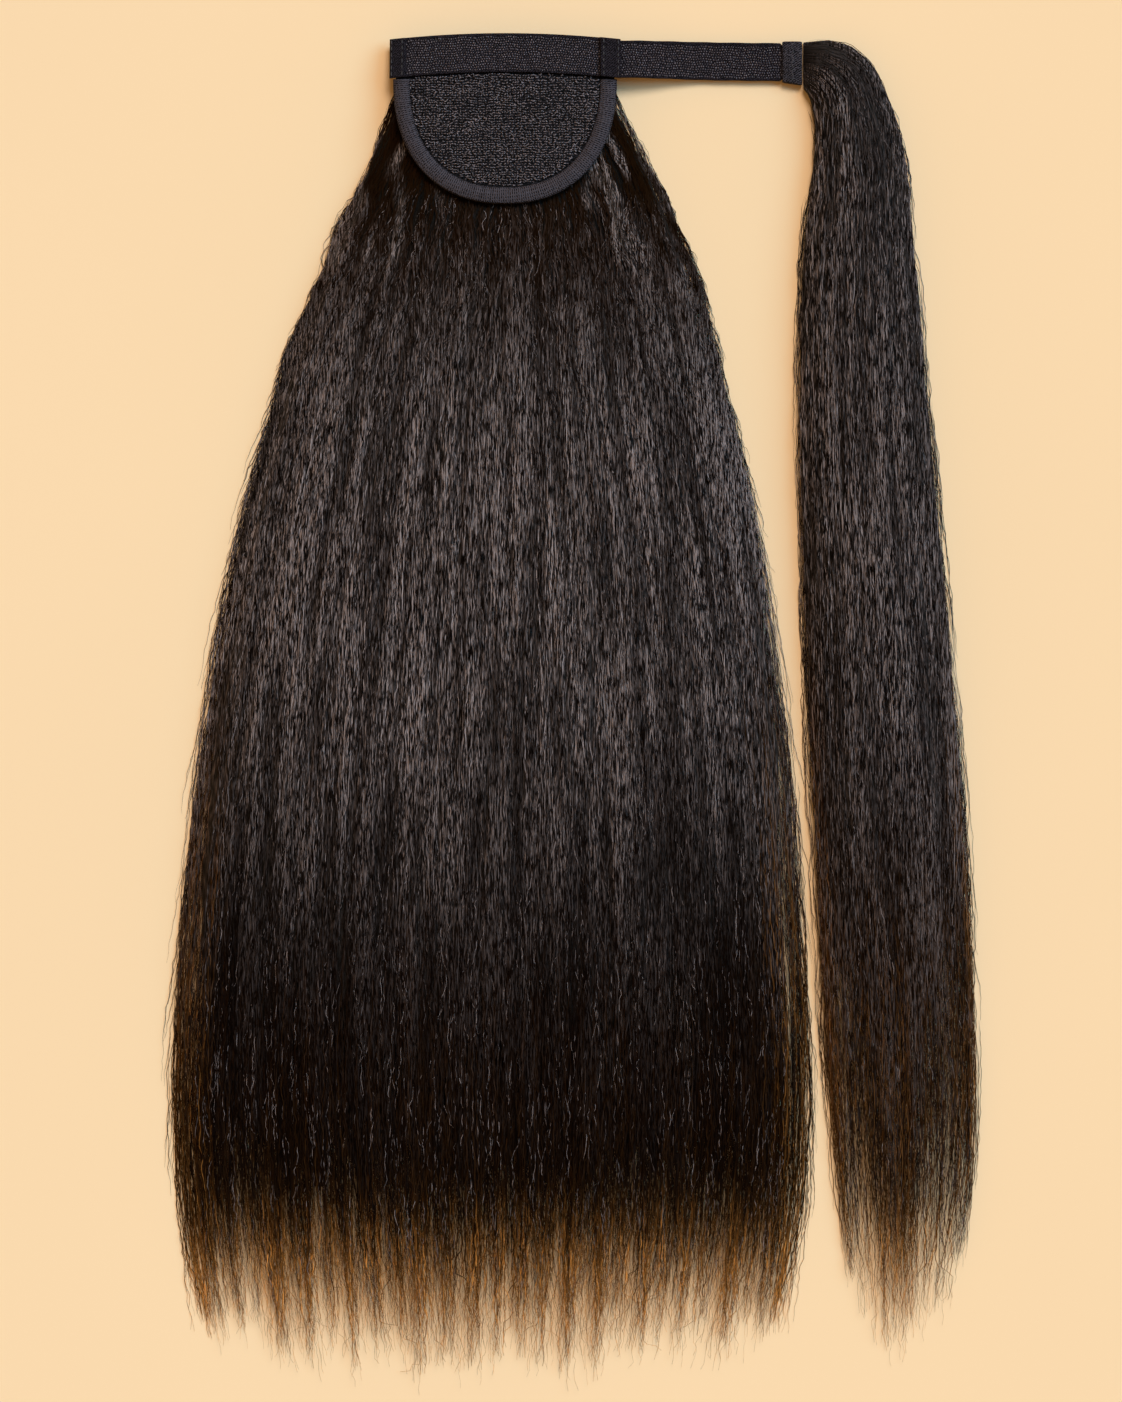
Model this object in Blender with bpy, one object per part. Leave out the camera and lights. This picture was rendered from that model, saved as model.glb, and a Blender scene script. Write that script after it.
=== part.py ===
# Wrap-around ponytail hairpiece, lying face up on a flat surface.
#
# A D-shaped loop patch with a bound edge carries the hair on its underside. A hook
# band crosses the top of the patch and runs on, to the right, as a strap. A folded
# tab at the strap's end holds a second, narrower strand of hair, which is wound
# round the base of the ponytail when the piece is worn.
#
# Metres, +Z up. While it is modelled, x = 0 is the patch's middle line, y = 0 the
# top edge of the band's two ends, and z = 0 the surface that the hair lies on. At
# the end the whole piece is moved, so that the origin is under the middle of its box.

import math

import bmesh
import bpy
import numpy as np
from mathutils import Vector

FIT_GAP = 0.0003  # between pieces that are sewn face to face

# Hook tape
TAPE_THICKNESS = 0.0015
TAPE_BEVEL = 0.00025

# Band across the top of the patch
BAND_LENGTH = 0.096
BAND_WIDTH = 0.0166
BAND_ARCH = 0.0024  # how far the band's middle stands above its ends, in plan
BAND_STRIPS = 11
END_HEM_LENGTH = 0.006
END_HEM_THICKNESS = 0.0010  # the turned-over layer
JOINT_HEM_LENGTH = 0.0082  # the part of the band that is sewn over the strap's root
HEM_STEP = 0.0006  # the length over which a hem rises

# Patch
PATCH_WIDTH = 0.093
PATCH_DEPTH = 0.0528  # from the band's lower edge to the patch's lowest point
PATCH_SQUARENESS = 2.25  # 2 is an ellipse, more is squarer
PATCH_STRIPS = 25
FIELD_THICKNESS = 0.0018
FIELD_MARGIN = 0.0010  # from the band's top edge down to the field's
PILE_HEIGHT = 0.0007
PILE_SHOULDER = 0.003
BINDING_WIDTH = 0.0069
BINDING_THICKNESS = 0.0008
BINDING_ROUND = 0.0004
PATCH_HEEL = 0.0060  # from the floor to the field's underside at the band
PATCH_LIFT = 0.0160  # how much higher the patch's lower end lies, on the hair
PATCH_BOW = 0.0028  # how much the patch's sides droop

# Strap and its tab
STRAP_WIDTH = 0.0158
STRAP_REACH = 0.0674  # from the band's end to the tab
STRAP_DIP = 0.0008  # sideways, towards the hair
STRAP_TWIST_SHARE = 0.55  # of the reach, over which the strap comes level
STRAP_SHOULDER = 0.0006  # the length over which it narrows to go into the tab
TAB_LENGTH = 0.0082
TAB_LIP = 0.0006  # how far the tab stands out past each side of the strap
TAB_FLARE = 0.0012  # how much wider the tab's outer end is
TAB_WALL = 0.0010
TAB_CLEARANCE = 0.0010  # from the floor to the tab

# Ponytail
BUNDLE_LENGTH = 0.5515
BUNDLE_WIDTH = 0.2640
BUNDLE_HEIGHT = 0.0320
BUNDLE_DRIFT = 0.0060  # of its middle line, away from the wrap strand
BUNDLE_ROOT = 0.0080  # from the band's top edge down to the first weft
BUNDLE_SWELL = 0.5  # the slope at which the hair rises once it is past the patch
BUNDLE_LOCKS = 21

# Wrap strand
STRAND_LENGTH = 0.5445  # from the tab down to the last tip
STRAND_CLEARANCE = 0.0072  # between the ponytail and the strand at their widest
STRAND_WIDTH = 0.0650
STRAND_HEIGHT = 0.0200
STRAND_LOCKS = 8

# Hair of both
EDGE_HEIGHT = 0.0022
COLUMNS_PER_LOCK = 3
RIDGE_DEPTH = 0.0016
TIP_WIDTH = 0.0012
TIP_HEIGHT = 0.0010
SPLIT_ROWS = 4

# A section of the ponytail: where it is along the length, its half width and crown
# height, and how far its middle has drifted, each as a share of the named size
BUNDLE_SECTIONS = [
    # along, half width, crown, drift
    (0.000, 0.300, 0.23, 0.00),
    (0.040, 0.365, 0.42, 0.00),
    (0.112, 0.498, 0.70, -0.16),
    (0.183, 0.610, 0.80, 0.05),
    (0.273, 0.720, 0.89, 0.30),
    (0.364, 0.812, 0.95, 0.52),
    (0.500, 0.908, 1.00, 0.76),
    (0.636, 0.962, 0.92, 0.90),
    (0.780, 0.995, 0.62, 1.00),
    (0.860, 0.980, 0.40, 1.00),
    (1.000, 0.900, 0.08, 1.00),
]
BUNDLE_ROWS = [0.0, 0.022, 0.045, 0.075, 0.113, 0.130, 0.165, 0.21, 0.27, 0.34]
BUNDLE_ROWS += [0.42, 0.50, 0.58, 0.66, 0.73, 0.79, 0.84]

# A section of the wrap strand: how far out from the tab and down it is, its heading
# as a share of the quarter turn that it makes, its half width and its crown height
STRAND_SECTIONS = [
    # out, down, turn, half width, crown
    (0.015, 0.0000, 0.00, 0.262, 0.100),
    (0.107, 0.0012, 0.24, 0.343, 0.260),
    (0.250, 0.0052, 0.44, 0.422, 0.480),
    (0.384, 0.0150, 0.65, 0.475, 0.640),
    (0.483, 0.0328, 0.88, 0.512, 0.740),
    (0.534, 0.0480, 0.98, 0.553, 0.790),
    (0.563, 0.0690, 1.00, 0.600, 0.840),
    (0.563, 0.1370, 1.00, 0.724, 0.900),
    (0.620, 0.2740, 1.00, 0.857, 0.970),
    (0.763, 0.4570, 1.00, 0.950, 1.000),
    (0.904, 0.6400, 1.00, 1.000, 0.880),
    (1.010, 0.8230, 1.00, 0.930, 0.460),
    (1.000, 1.0000, 1.00, 0.640, 0.080),
]
STRAND_ROWS_TO_SPLIT = 19
STRAND_SPLIT = 0.82  # of its length


def smooth_columns(table, at):
    """Each column after the first, read at the given values of the first, on a curve
    with no overshoot worth the name (a Catmull-Rom curve through the rows)."""
    rows = np.array(table, float)
    key = rows[:, 0]
    slopes = np.gradient(rows[:, 1:], key, axis=0)
    at = np.clip(np.asarray(at, float), key[0], key[-1])
    i = np.clip(np.searchsorted(key, at) - 1, 0, len(key) - 2)
    span = (key[i + 1] - key[i])[:, None]
    t = ((at - key[i]) / (key[i + 1] - key[i]))[:, None]
    start, end = rows[i, 1:], rows[i + 1, 1:]
    return (
        start * (2 * t**3 - 3 * t**2 + 1)
        + end * (3 * t**2 - 2 * t**3)
        + slopes[i] * span * (t**3 - 2 * t**2 + t)
        + slopes[i + 1] * span * (t**3 - t**2)
    )


def smooth_step(t):
    t = min(max(t, 0.0), 1.0)
    return t * t * (3 - 2 * t)


def plain_material(name, colour, roughness):
    material = bpy.data.materials.new(name)
    material.use_nodes = True
    shader = material.node_tree.nodes["Principled BSDF"]
    shader.inputs["Base Color"].default_value = (*colour, 1.0)
    shader.inputs["Roughness"].default_value = roughness
    shader.inputs["Metallic"].default_value = 0.0
    material.diffuse_color = (*colour, 1.0)
    return material


def add_object(name, mesh_builder, material, parent, place, bevel=0.0):
    """One named object from a bmesh, with its origin at place and normals outwards."""
    bmesh.ops.recalc_face_normals(mesh_builder, faces=mesh_builder.faces)
    bmesh.ops.translate(mesh_builder, verts=mesh_builder.verts, vec=-Vector(place))
    mesh = bpy.data.meshes.new(name)
    mesh_builder.to_mesh(mesh)
    mesh_builder.free()
    mesh.materials.append(material)
    piece = bpy.data.objects.new(name, mesh)
    bpy.context.scene.collection.objects.link(piece)
    piece.parent = parent
    piece.location = place
    if bevel:
        edge = piece.modifiers.new("soft_edge", "BEVEL")
        edge.width = bevel
        edge.segments = 1
        edge.limit_method = "ANGLE"
        edge.angle_limit = math.radians(50)
    mesh.shade_smooth()
    mesh.set_sharp_from_angle(angle=math.radians(40))
    return piece


def loft(sections, closed=True):
    """A closed solid through rings of the same number of points. With closed set, the
    two end rings are filled; otherwise the last ring joins the first."""
    builder = bmesh.new()
    rings = [[builder.verts.new(p) for p in ring] for ring in sections]
    pairs = list(zip(rings, rings[1:]))
    if not closed:
        pairs.append((rings[-1], rings[0]))
    for ring, following in pairs:
        for k in range(len(ring)):
            n = (k + 1) % len(ring)
            builder.faces.new((ring[k], ring[n], following[n], following[k]))
    if closed:
        builder.faces.new(rings[0])
        builder.faces.new(reversed(rings[-1]))
    return builder


# Patch and band


def band_middle_y(x):
    """The band's middle line in plan, an arch over the patch."""
    share = 2 * x / BAND_LENGTH
    return -BAND_WIDTH / 2 + BAND_ARCH * (1 - share * share)


def band_foot_y():
    """The band's lower edge at its ends, where the patch's round outline begins."""
    return -BAND_WIDTH


def patch_bottom_y():
    return band_foot_y() - PATCH_DEPTH


def underside_height(x, y):
    """The height of the field's underside: the patch leans on the hair and bows."""
    slope = PATCH_LIFT / -patch_bottom_y()
    side = 2 * x / PATCH_WIDTH
    return PATCH_HEEL - slope * y - PATCH_BOW * side * side


def patch_point(turn, inset=0.0):
    """A point of the patch's round edge in plan. turn goes from 0 at the right end of
    the band's lower edge to 1 at its left end; inset moves the point inwards."""
    power = 2 / PATCH_SQUARENESS
    angle = math.pi * turn
    across, down = math.cos(angle), math.sin(angle)
    x = PATCH_WIDTH / 2 * math.copysign(abs(across) ** power, across)
    y = band_foot_y() - PATCH_DEPTH * max(down, 0.0) ** power
    # The outward direction of a superellipse, from its two half axes
    level_x = math.copysign(abs(across) ** (2 - power), across) / (PATCH_WIDTH / 2)
    level_y = -max(down, 0.0) ** (2 - power) / PATCH_DEPTH
    length = math.hypot(level_x, level_y)
    return x - inset * level_x / length, y - inset * level_y / length


def field_edge_inset():
    return BINDING_THICKNESS + FIT_GAP


def patch_place():
    """The middle of the patch's underside, at the band's lower edge."""
    return (0, band_foot_y(), underside_height(0, band_foot_y()))


def make_field(material, parent):
    """The loop fabric: strips across the patch, with the pile standing proud of the
    sewn margin under the band and the binding."""
    inset = field_edge_inset()
    turns = np.linspace(0, 1, PATCH_STRIPS + 1)
    pile_rows = [0.0, 0.10, 0.22, 0.5, 0.78, 0.90, 1.0]
    inner_width = PATCH_WIDTH / 2 - BINDING_WIDTH
    inner_depth = PATCH_DEPTH - BINDING_WIDTH

    def pile_at(x, y):
        below_band = band_middle_y(x) - BAND_WIDTH / 2 - FIT_GAP - y
        reach = (abs(x) / inner_width) ** PATCH_SQUARENESS
        reach += (max(band_foot_y() - y, 0) / inner_depth) ** PATCH_SQUARENESS
        inside = inner_depth * (1 - min(reach, 1) ** (1 / PATCH_SQUARENESS))
        return PILE_HEIGHT * smooth_step(min(below_band, inside) / PILE_SHOULDER)

    builder = bmesh.new()
    top, bottom = [], []
    for turn in turns:
        x, low = patch_point(turn, inset)
        high = band_middle_y(x) + BAND_WIDTH / 2 - FIELD_MARGIN
        waist = band_middle_y(x) - BAND_WIDTH / 2 - FIT_GAP
        waist = max(waist, low + TAPE_BEVEL)
        ys = [high] + [waist + (low - waist) * f for f in pile_rows]
        upper, lower = [], []
        for y in ys:
            z = underside_height(x, y)
            upper.append(builder.verts.new((x, y, z + FIELD_THICKNESS + pile_at(x, y))))
            lower.append(builder.verts.new((x, y, z)))
        top.append(upper)
        bottom.append(lower)
    for i in range(len(turns) - 1):
        for j in range(len(pile_rows)):
            builder.faces.new(
                (top[i][j], top[i + 1][j], top[i + 1][j + 1], top[i][j + 1])
            )
            builder.faces.new(
                (bottom[i][j], bottom[i][j + 1], bottom[i + 1][j + 1], bottom[i + 1][j])
            )
        for j in (0, -1):
            builder.faces.new((top[i][j], top[i + 1][j], bottom[i + 1][j], bottom[i][j]))
    for i in (0, -1):
        for j in range(len(pile_rows)):
            builder.faces.new((top[i][j], top[i][j + 1], bottom[i][j + 1], bottom[i][j]))
    return add_object("patch_field", builder, material, parent, patch_place())


def make_binding(material, parent):
    """The edge binding: a folded tape that wraps the field's round edge, open inwards."""
    over = FIELD_THICKNESS + FIT_GAP
    crest = over + BINDING_THICKNESS
    foot = -FIT_GAP - BINDING_THICKNESS
    section = [
        # inwards from the patch's outline, up from the field's underside
        (0.0, foot + BINDING_ROUND),
        (0.0, crest - BINDING_ROUND),
        (BINDING_ROUND, crest),
        (BINDING_WIDTH - BINDING_ROUND, crest),
        (BINDING_WIDTH, crest - BINDING_ROUND),
        (BINDING_WIDTH, over),
        (BINDING_THICKNESS, over),
        (BINDING_THICKNESS, -FIT_GAP),
        (BINDING_WIDTH, -FIT_GAP),
        (BINDING_WIDTH, foot),
        (BINDING_ROUND, foot),
    ]
    rings = []
    for turn in np.linspace(0, 1, 2 * PATCH_STRIPS + 1):
        ring = []
        for inset, up in section:
            x, y = patch_point(turn, inset)
            y -= FIT_GAP
            ring.append((x, y, underside_height(x, y) + up))
        rings.append(ring)
    return add_object("patch_binding", loft(rings), material, parent, patch_place())


def band_level():
    """The band's underside, up from the field's underside."""
    return FIELD_THICKNESS + FIT_GAP


def make_band(material, parent):
    """The hook band. Its left end is turned over into a hem, and its right end steps up
    over the strap's root."""
    half = BAND_LENGTH / 2
    over_strap = TAPE_THICKNESS + FIT_GAP
    left = -half + END_HEM_LENGTH
    right = half - JOINT_HEM_LENGTH
    middle = np.linspace(left + HEM_STEP, right - HEM_STEP, BAND_STRIPS + 1)
    stations = [
        # x, underside, thickness
        (-half, 0.0, TAPE_THICKNESS + END_HEM_THICKNESS),
        (left, 0.0, TAPE_THICKNESS + END_HEM_THICKNESS),
    ]
    stations += [(x, 0.0, TAPE_THICKNESS) for x in middle]
    stations += [
        (right, over_strap, TAPE_THICKNESS),
        ((right + half) / 2, over_strap, TAPE_THICKNESS),
        (half, over_strap, TAPE_THICKNESS),
    ]
    rings = []
    for x, under, thick in stations:
        y = band_middle_y(x)
        ring = []
        for side, up in ((1, 0), (1, 1), (-1, 1), (-1, 0)):
            edge_y = y + side * BAND_WIDTH / 2
            z = underside_height(x, edge_y) + band_level() + under + up * thick
            ring.append((x, edge_y, z))
        rings.append(ring)
    foot = underside_height(0, band_middle_y(0)) + band_level()
    place = (0, band_middle_y(0), foot)
    return add_object("top_band", loft(rings), material, parent, place, TAPE_BEVEL)


# Strap and tab


def tab_start_x():
    return BAND_LENGTH / 2 + STRAP_REACH


def tab_end_x():
    return tab_start_x() + TAB_LENGTH


def tab_middle_y():
    return -BAND_WIDTH / 2 - STRAP_DIP


def tab_half_width():
    return STRAP_WIDTH / 2 + TAB_LIP


def tucked_half_width():
    """Half the width of the strap's end and of the strand's root, inside the tab."""
    return tab_half_width() - TAB_WALL - FIT_GAP


def tab_channel_height():
    return TAPE_THICKNESS + 2 * FIT_GAP


def strap_rest_height():
    """The strap's underside where it lies level, inside the tab."""
    return TAB_CLEARANCE + TAB_WALL + FIT_GAP


def make_strap(material, parent):
    """The strap: sewn under the band's end, it comes level and down towards the tab."""
    root = BAND_LENGTH / 2 - JOINT_HEM_LENGTH + HEM_STEP + FIT_GAP
    tip = tab_start_x() + (TAB_LENGTH - FIT_GAP) / 2
    start = BAND_LENGTH / 2
    mouth = tab_start_x() - FIT_GAP
    shoulder = mouth - STRAP_SHOULDER
    slope = PATCH_LIFT / -patch_bottom_y()
    rings = []
    level = start + STRAP_TWIST_SHARE * STRAP_REACH
    free = np.linspace(start, level, 8)[1:]
    flat = [(level + shoulder) / 2, shoulder, mouth, tip]
    for x in [root, (root + start) / 2, start, *free, *flat]:
        settled = smooth_step((x - start) / (level - start))
        middle = -BAND_WIDTH / 2 - STRAP_DIP * smooth_step((x - start) / STRAP_REACH)
        y_mid = middle if x > start else band_middle_y(x)
        on_patch = underside_height(min(x, start), y_mid) + band_level()
        z_mid = on_patch + (strap_rest_height() - on_patch) * settled
        lean = slope * (1 - settled)
        ring = []
        half = STRAP_WIDTH / 2 if x < mouth else tucked_half_width()
        for side, up in ((1, 0), (1, 1), (-1, 1), (-1, 0)):
            across = side * half
            z = z_mid - lean * across + up * TAPE_THICKNESS
            ring.append((x, y_mid + across, z))
        rings.append(ring)
    place = (start, -BAND_WIDTH / 2, underside_height(start, -BAND_WIDTH / 2) + band_level())
    return add_object("wrap_strap", loft(rings), material, parent, place, TAPE_BEVEL)


def make_tab(material, parent):
    """The folded tab: a flat sleeve over the strap's end and the wrap strand's root."""
    height = tab_channel_height() + 2 * TAB_WALL
    z = TAB_CLEARANCE + height / 2
    rings = []
    for x, flare in ((tab_start_x(), 0), (tab_end_x(), TAB_FLARE)):
        half = tab_half_width() + flare / 2
        y = tab_middle_y() - flare / 2
        outer = [(x, y + s * half, z + t * height / 2) for s, t in CORNERS]
        hollow = tucked_half_width() + FIT_GAP
        y = tab_middle_y()
        lift = tab_channel_height() / 2
        inner = [(x, y + s * hollow, z + t * lift) for s, t in CORNERS]
        rings.append((outer, inner))
    (outer_a, inner_a), (outer_b, inner_b) = rings
    builder = loft([outer_a, outer_b, inner_b, inner_a], closed=False)
    place = (tab_start_x(), tab_middle_y(), z)
    return add_object("strap_tab", builder, material, parent, place, TAPE_BEVEL)


CORNERS = ((1, -1), (1, 1), (-1, 1), (-1, -1))


# Hair


def lock_edges(count):
    """The sides of the locks across a bundle, from -1 to 1. Locks differ in width."""
    widths = [1 + 0.28 * math.sin(2.4 * i + 0.6) for i in range(count)]
    edges = np.concatenate([[0], np.cumsum(widths)])
    return -1 + 2 * edges / edges[-1]


def tip_setback(i, across):
    """How far a lock's tip stops short of the last one, as a share of the length."""
    return 0.030 * abs(across) ** 3 + 0.026 * (1 + math.sin(1.9 * i + 0.8)) / 2


class HairRow:
    """A cross-section of a bundle: its middle, heading, half width and heights."""

    def __init__(self, x, y, heading, half_width, crown, base, ridge):
        self.x, self.y, self.heading = x, y, heading
        self.half_width, self.crown = half_width, crown
        self.base, self.ridge = base, ridge

    def plan(self, across):
        """The plan position of a place across the row, from -1 to 1."""
        reach = across * self.half_width
        return (
            self.x - math.sin(self.heading) * reach,
            self.y + math.cos(self.heading) * reach,
        )

    def height(self, across, on_ridge):
        """The top at a place across the row. on_ridge is 0 in a groove and 1 on a lock."""
        edge = min(EDGE_HEIGHT, self.crown)
        mound = max(0.0, 1 - abs(across) ** 2.3) ** 0.75
        groove = self.ridge * (1 - on_ridge) * mound
        return self.base + edge + (self.crown - edge) * mound - groove


def hair_solid(name, rows, row_at, split, locks, ceiling, material, parent):
    """Locks fused into one body. rows run from the root to the split, and from there
    each lock goes on alone and narrows to its own tip. row_at gives the row at a share
    of the length, and ceiling(x, y) is the highest that the hair may be there."""
    builder = bmesh.new()
    edges = lock_edges(locks)
    per_lock = COLUMNS_PER_LOCK

    def column(k):
        lock, part = divmod(k, per_lock)
        if lock == locks:
            return 1.0, 0.0
        across = edges[lock] + (edges[lock + 1] - edges[lock]) * part / per_lock
        return across, 0.0 if part == 0 else 1.0

    def vertex(row, across, z):
        x, y = row.plan(across)
        return builder.verts.new((x, y, z))

    top, bottom = [], []
    for row in rows:
        upper = []
        for k in range(locks * per_lock + 1):
            across, on_ridge = column(k)
            x, y = row.plan(across)
            z = min(row.height(across, on_ridge), ceiling(x, y))
            upper.append(builder.verts.new((x, y, z)))
        top.append(upper)
        bottom.append([vertex(row, across, row.base) for across in edges])

    def grid(lines, flip=False):
        for line, following in zip(lines, lines[1:]):
            for k in range(len(line) - 1):
                quad = (line[k], following[k], following[k + 1], line[k + 1])
                builder.faces.new(reversed(quad) if flip else quad)

    def side(line, following, under, under_following):
        builder.faces.new((line, following, under_following, under))

    grid(top)
    grid(bottom, flip=True)
    builder.faces.new([*top[0], *reversed(bottom[0])])
    for k in (0, -1):
        for i in range(len(rows) - 1):
            side(top[i][k], top[i + 1][k], bottom[i][k], bottom[i + 1][k])

    for lock in range(locks):
        left, right = edges[lock], edges[lock + 1]
        middle, half = (left + right) / 2, (right - left) / 2
        end = 1 - tip_setback(lock, middle)
        upper = [top[-1][lock * per_lock : (lock + 1) * per_lock + 1]]
        lower = [bottom[-1][lock : lock + 2]]
        for step in range(1, SPLIT_ROWS + 1):
            t = step / SPLIT_ROWS
            row = row_at(split + (end - split) * t)
            narrow = (1 - t) ** 0.7
            # The middle of the bundle's own mound at this place, thinned towards the tip
            crown = row.height(middle, 1) * (1 - 0.35 * t)
            crown = max(crown * (1 - t) + TIP_HEIGHT * t, TIP_HEIGHT)
            own = max(half * narrow, TIP_WIDTH / 2 / row.half_width)
            line = []
            for part in range(per_lock + 1):
                v = 2 * part / per_lock - 1
                at_side = part in (0, per_lock)
                z = crown * (0.62 if at_side else 1.0)
                line.append(vertex(row, middle + own * v, z))
            upper.append(line)
            lower.append([vertex(row, middle + own * v, row.base) for v in (-1, 1)])
        grid(upper)
        grid(lower, flip=True)
        for k in (0, -1):
            for i in range(SPLIT_ROWS):
                side(upper[i][k], upper[i + 1][k], lower[i][k], lower[i + 1][k])
        builder.faces.new([*upper[-1], *reversed(lower[-1])])
    place = (rows[0].x, rows[0].y, rows[0].base)
    return add_object(name, builder, material, parent, place)


def make_bundle(material, parent):
    """The ponytail: it is sewn under the patch, and fans out down its length."""
    root_y = -BUNDLE_ROOT

    def row_at(share):
        half, crown, drift = smooth_columns(BUNDLE_SECTIONS, [share])[0]
        under_patch = smooth_step((share - 0.113) / 0.2)
        return HairRow(
            -BUNDLE_DRIFT * drift,
            root_y - BUNDLE_LENGTH * share,
            -math.pi / 2,
            BUNDLE_WIDTH / 2 * half,
            BUNDLE_HEIGHT * crown,
            0.0,
            RIDGE_DEPTH * under_patch,
        )

    edge_y = patch_bottom_y() - 2 * FIT_GAP

    def ceiling(x, y):
        """The hair lies against the patch and the binding, and swells past them."""
        swell = BUNDLE_SWELL * max(0.0, edge_y - y)
        return underside_height(x, y) - BINDING_THICKNESS - 2 * FIT_GAP + swell

    # One row lies just past the patch's lower edge, wherever that is
    past_patch = (root_y - edge_y) / BUNDLE_LENGTH
    shares = sorted([s for s in BUNDLE_ROWS if abs(s - past_patch) > 0.006] + [past_patch])
    rows = [row_at(s) for s in shares]
    split = shares[-1]
    return hair_solid(
        "ponytail_hair", rows, row_at, split, BUNDLE_LOCKS, ceiling, material, parent
    )


def strand_line():
    """The wrap strand's sections in plan, root first, with the distance along it."""
    ponytail_side = BUNDLE_WIDTH / 2 - BUNDLE_DRIFT
    reach = ponytail_side + STRAND_CLEARANCE + STRAND_WIDTH / 2 - tab_end_x()
    table = [
        (
            tab_end_x() + out * reach,
            tab_middle_y() - down * STRAND_LENGTH,
            -turn * math.pi / 2,
            STRAND_WIDTH / 2 * half,
            STRAND_HEIGHT * crown,
        )
        for out, down, turn, half, crown in STRAND_SECTIONS
    ]
    steps = [math.dist(a[:2], b[:2]) for a, b in zip(table, table[1:])]
    along = np.concatenate([[0], np.cumsum(steps)])
    return [(s / along[-1], *row) for s, row in zip(along, table)]


def make_strand(material, parent):
    """The wrap strand: flat in the tab, it turns down beside the ponytail."""
    line = strand_line()
    root_base = strap_rest_height()
    first_x = tab_start_x() + (TAB_LENGTH + FIT_GAP) / 2
    mouth_x = tab_end_x() + FIT_GAP

    def row_at(share):
        x, y, heading, half, crown = smooth_columns(line, [share])[0]
        settled = smooth_step(share / 0.05)
        base = root_base * (1 - settled)
        ridge = RIDGE_DEPTH * smooth_step((share - 0.03) / 0.2)
        return HairRow(x, y, heading, half, crown, base, ridge)

    rows = [
        HairRow(x, tab_middle_y(), 0.0, tucked_half_width(), TAPE_THICKNESS, root_base, 0.0)
        for x in (first_x, mouth_x)
    ]
    eased = np.linspace(0, 1, STRAND_ROWS_TO_SPLIT) ** 1.5
    rows += [row_at(s) for s in STRAND_SPLIT * eased[1:]]

    def ceiling(x, y):
        return STRAND_HEIGHT + root_base

    return hair_solid(
        "wrap_strand", rows, row_at, STRAND_SPLIT, STRAND_LOCKS, ceiling, material, parent
    )


def centre_on_origin(parent):
    """Moves the piece so that the origin is under the middle of its box."""
    bpy.context.view_layer.update()
    graph = bpy.context.evaluated_depsgraph_get()
    corners = []
    for piece in parent.children:
        mesh = piece.evaluated_get(graph).to_mesh()
        corners += [piece.matrix_world @ v.co for v in mesh.vertices]
    corners = np.array(corners)
    low, high = corners.min(axis=0), corners.max(axis=0)
    parent.location = (-(low[0] + high[0]) / 2, -(low[1] + high[1]) / 2, -low[2])


def main():
    for old in list(bpy.data.objects):
        bpy.data.objects.remove(old)
    hairpiece = bpy.data.objects.new("hairpiece", None)
    bpy.context.scene.collection.objects.link(hairpiece)

    loop_cloth = plain_material("loop_cloth", (0.030, 0.029, 0.033), 0.95)
    binding_tape = plain_material("binding_tape", (0.034, 0.033, 0.037), 0.85)
    hook_tape = plain_material("hook_tape", (0.026, 0.025, 0.028), 0.80)
    hair = plain_material("hair", (0.014, 0.010, 0.009), 0.45)

    make_field(loop_cloth, hairpiece)
    make_binding(binding_tape, hairpiece)
    make_band(hook_tape, hairpiece)
    make_strap(hook_tape, hairpiece)
    make_tab(binding_tape, hairpiece)
    make_bundle(hair, hairpiece)
    make_strand(hair, hairpiece)
    centre_on_origin(hairpiece)


main()
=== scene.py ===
import math

import bmesh
import bpy
import numpy as np
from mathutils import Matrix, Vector


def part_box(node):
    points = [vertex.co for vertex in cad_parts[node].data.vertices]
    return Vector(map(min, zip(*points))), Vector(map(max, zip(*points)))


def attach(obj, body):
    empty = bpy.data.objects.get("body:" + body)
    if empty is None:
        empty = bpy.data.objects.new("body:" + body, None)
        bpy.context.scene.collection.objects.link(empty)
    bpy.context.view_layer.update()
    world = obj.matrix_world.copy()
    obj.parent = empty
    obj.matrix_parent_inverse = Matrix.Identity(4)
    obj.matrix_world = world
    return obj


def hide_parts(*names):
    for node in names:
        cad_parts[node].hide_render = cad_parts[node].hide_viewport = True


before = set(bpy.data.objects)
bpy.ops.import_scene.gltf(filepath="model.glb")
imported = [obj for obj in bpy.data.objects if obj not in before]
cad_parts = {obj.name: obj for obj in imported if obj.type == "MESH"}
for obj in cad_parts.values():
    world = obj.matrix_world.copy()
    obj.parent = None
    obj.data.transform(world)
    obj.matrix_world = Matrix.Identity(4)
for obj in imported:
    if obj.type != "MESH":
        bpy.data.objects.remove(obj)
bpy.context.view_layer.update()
scene = bpy.context.scene
fitGap = 0.0003  # between pieces sewn face to face
sharpAngle = math.radians(50)  # edges that turn more stay sharp


# small helpers

def smoothStep(t):
    t = np.clip(t, 0.0, 1.0)
    return t * t * (3 - 2 * t)


def ease(at, begin, over):
    return smoothStep((at - begin) / over)


def runAlong(x, y):
    return np.concatenate([[0], np.cumsum(np.hypot(np.diff(x), np.diff(y)))])


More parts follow.
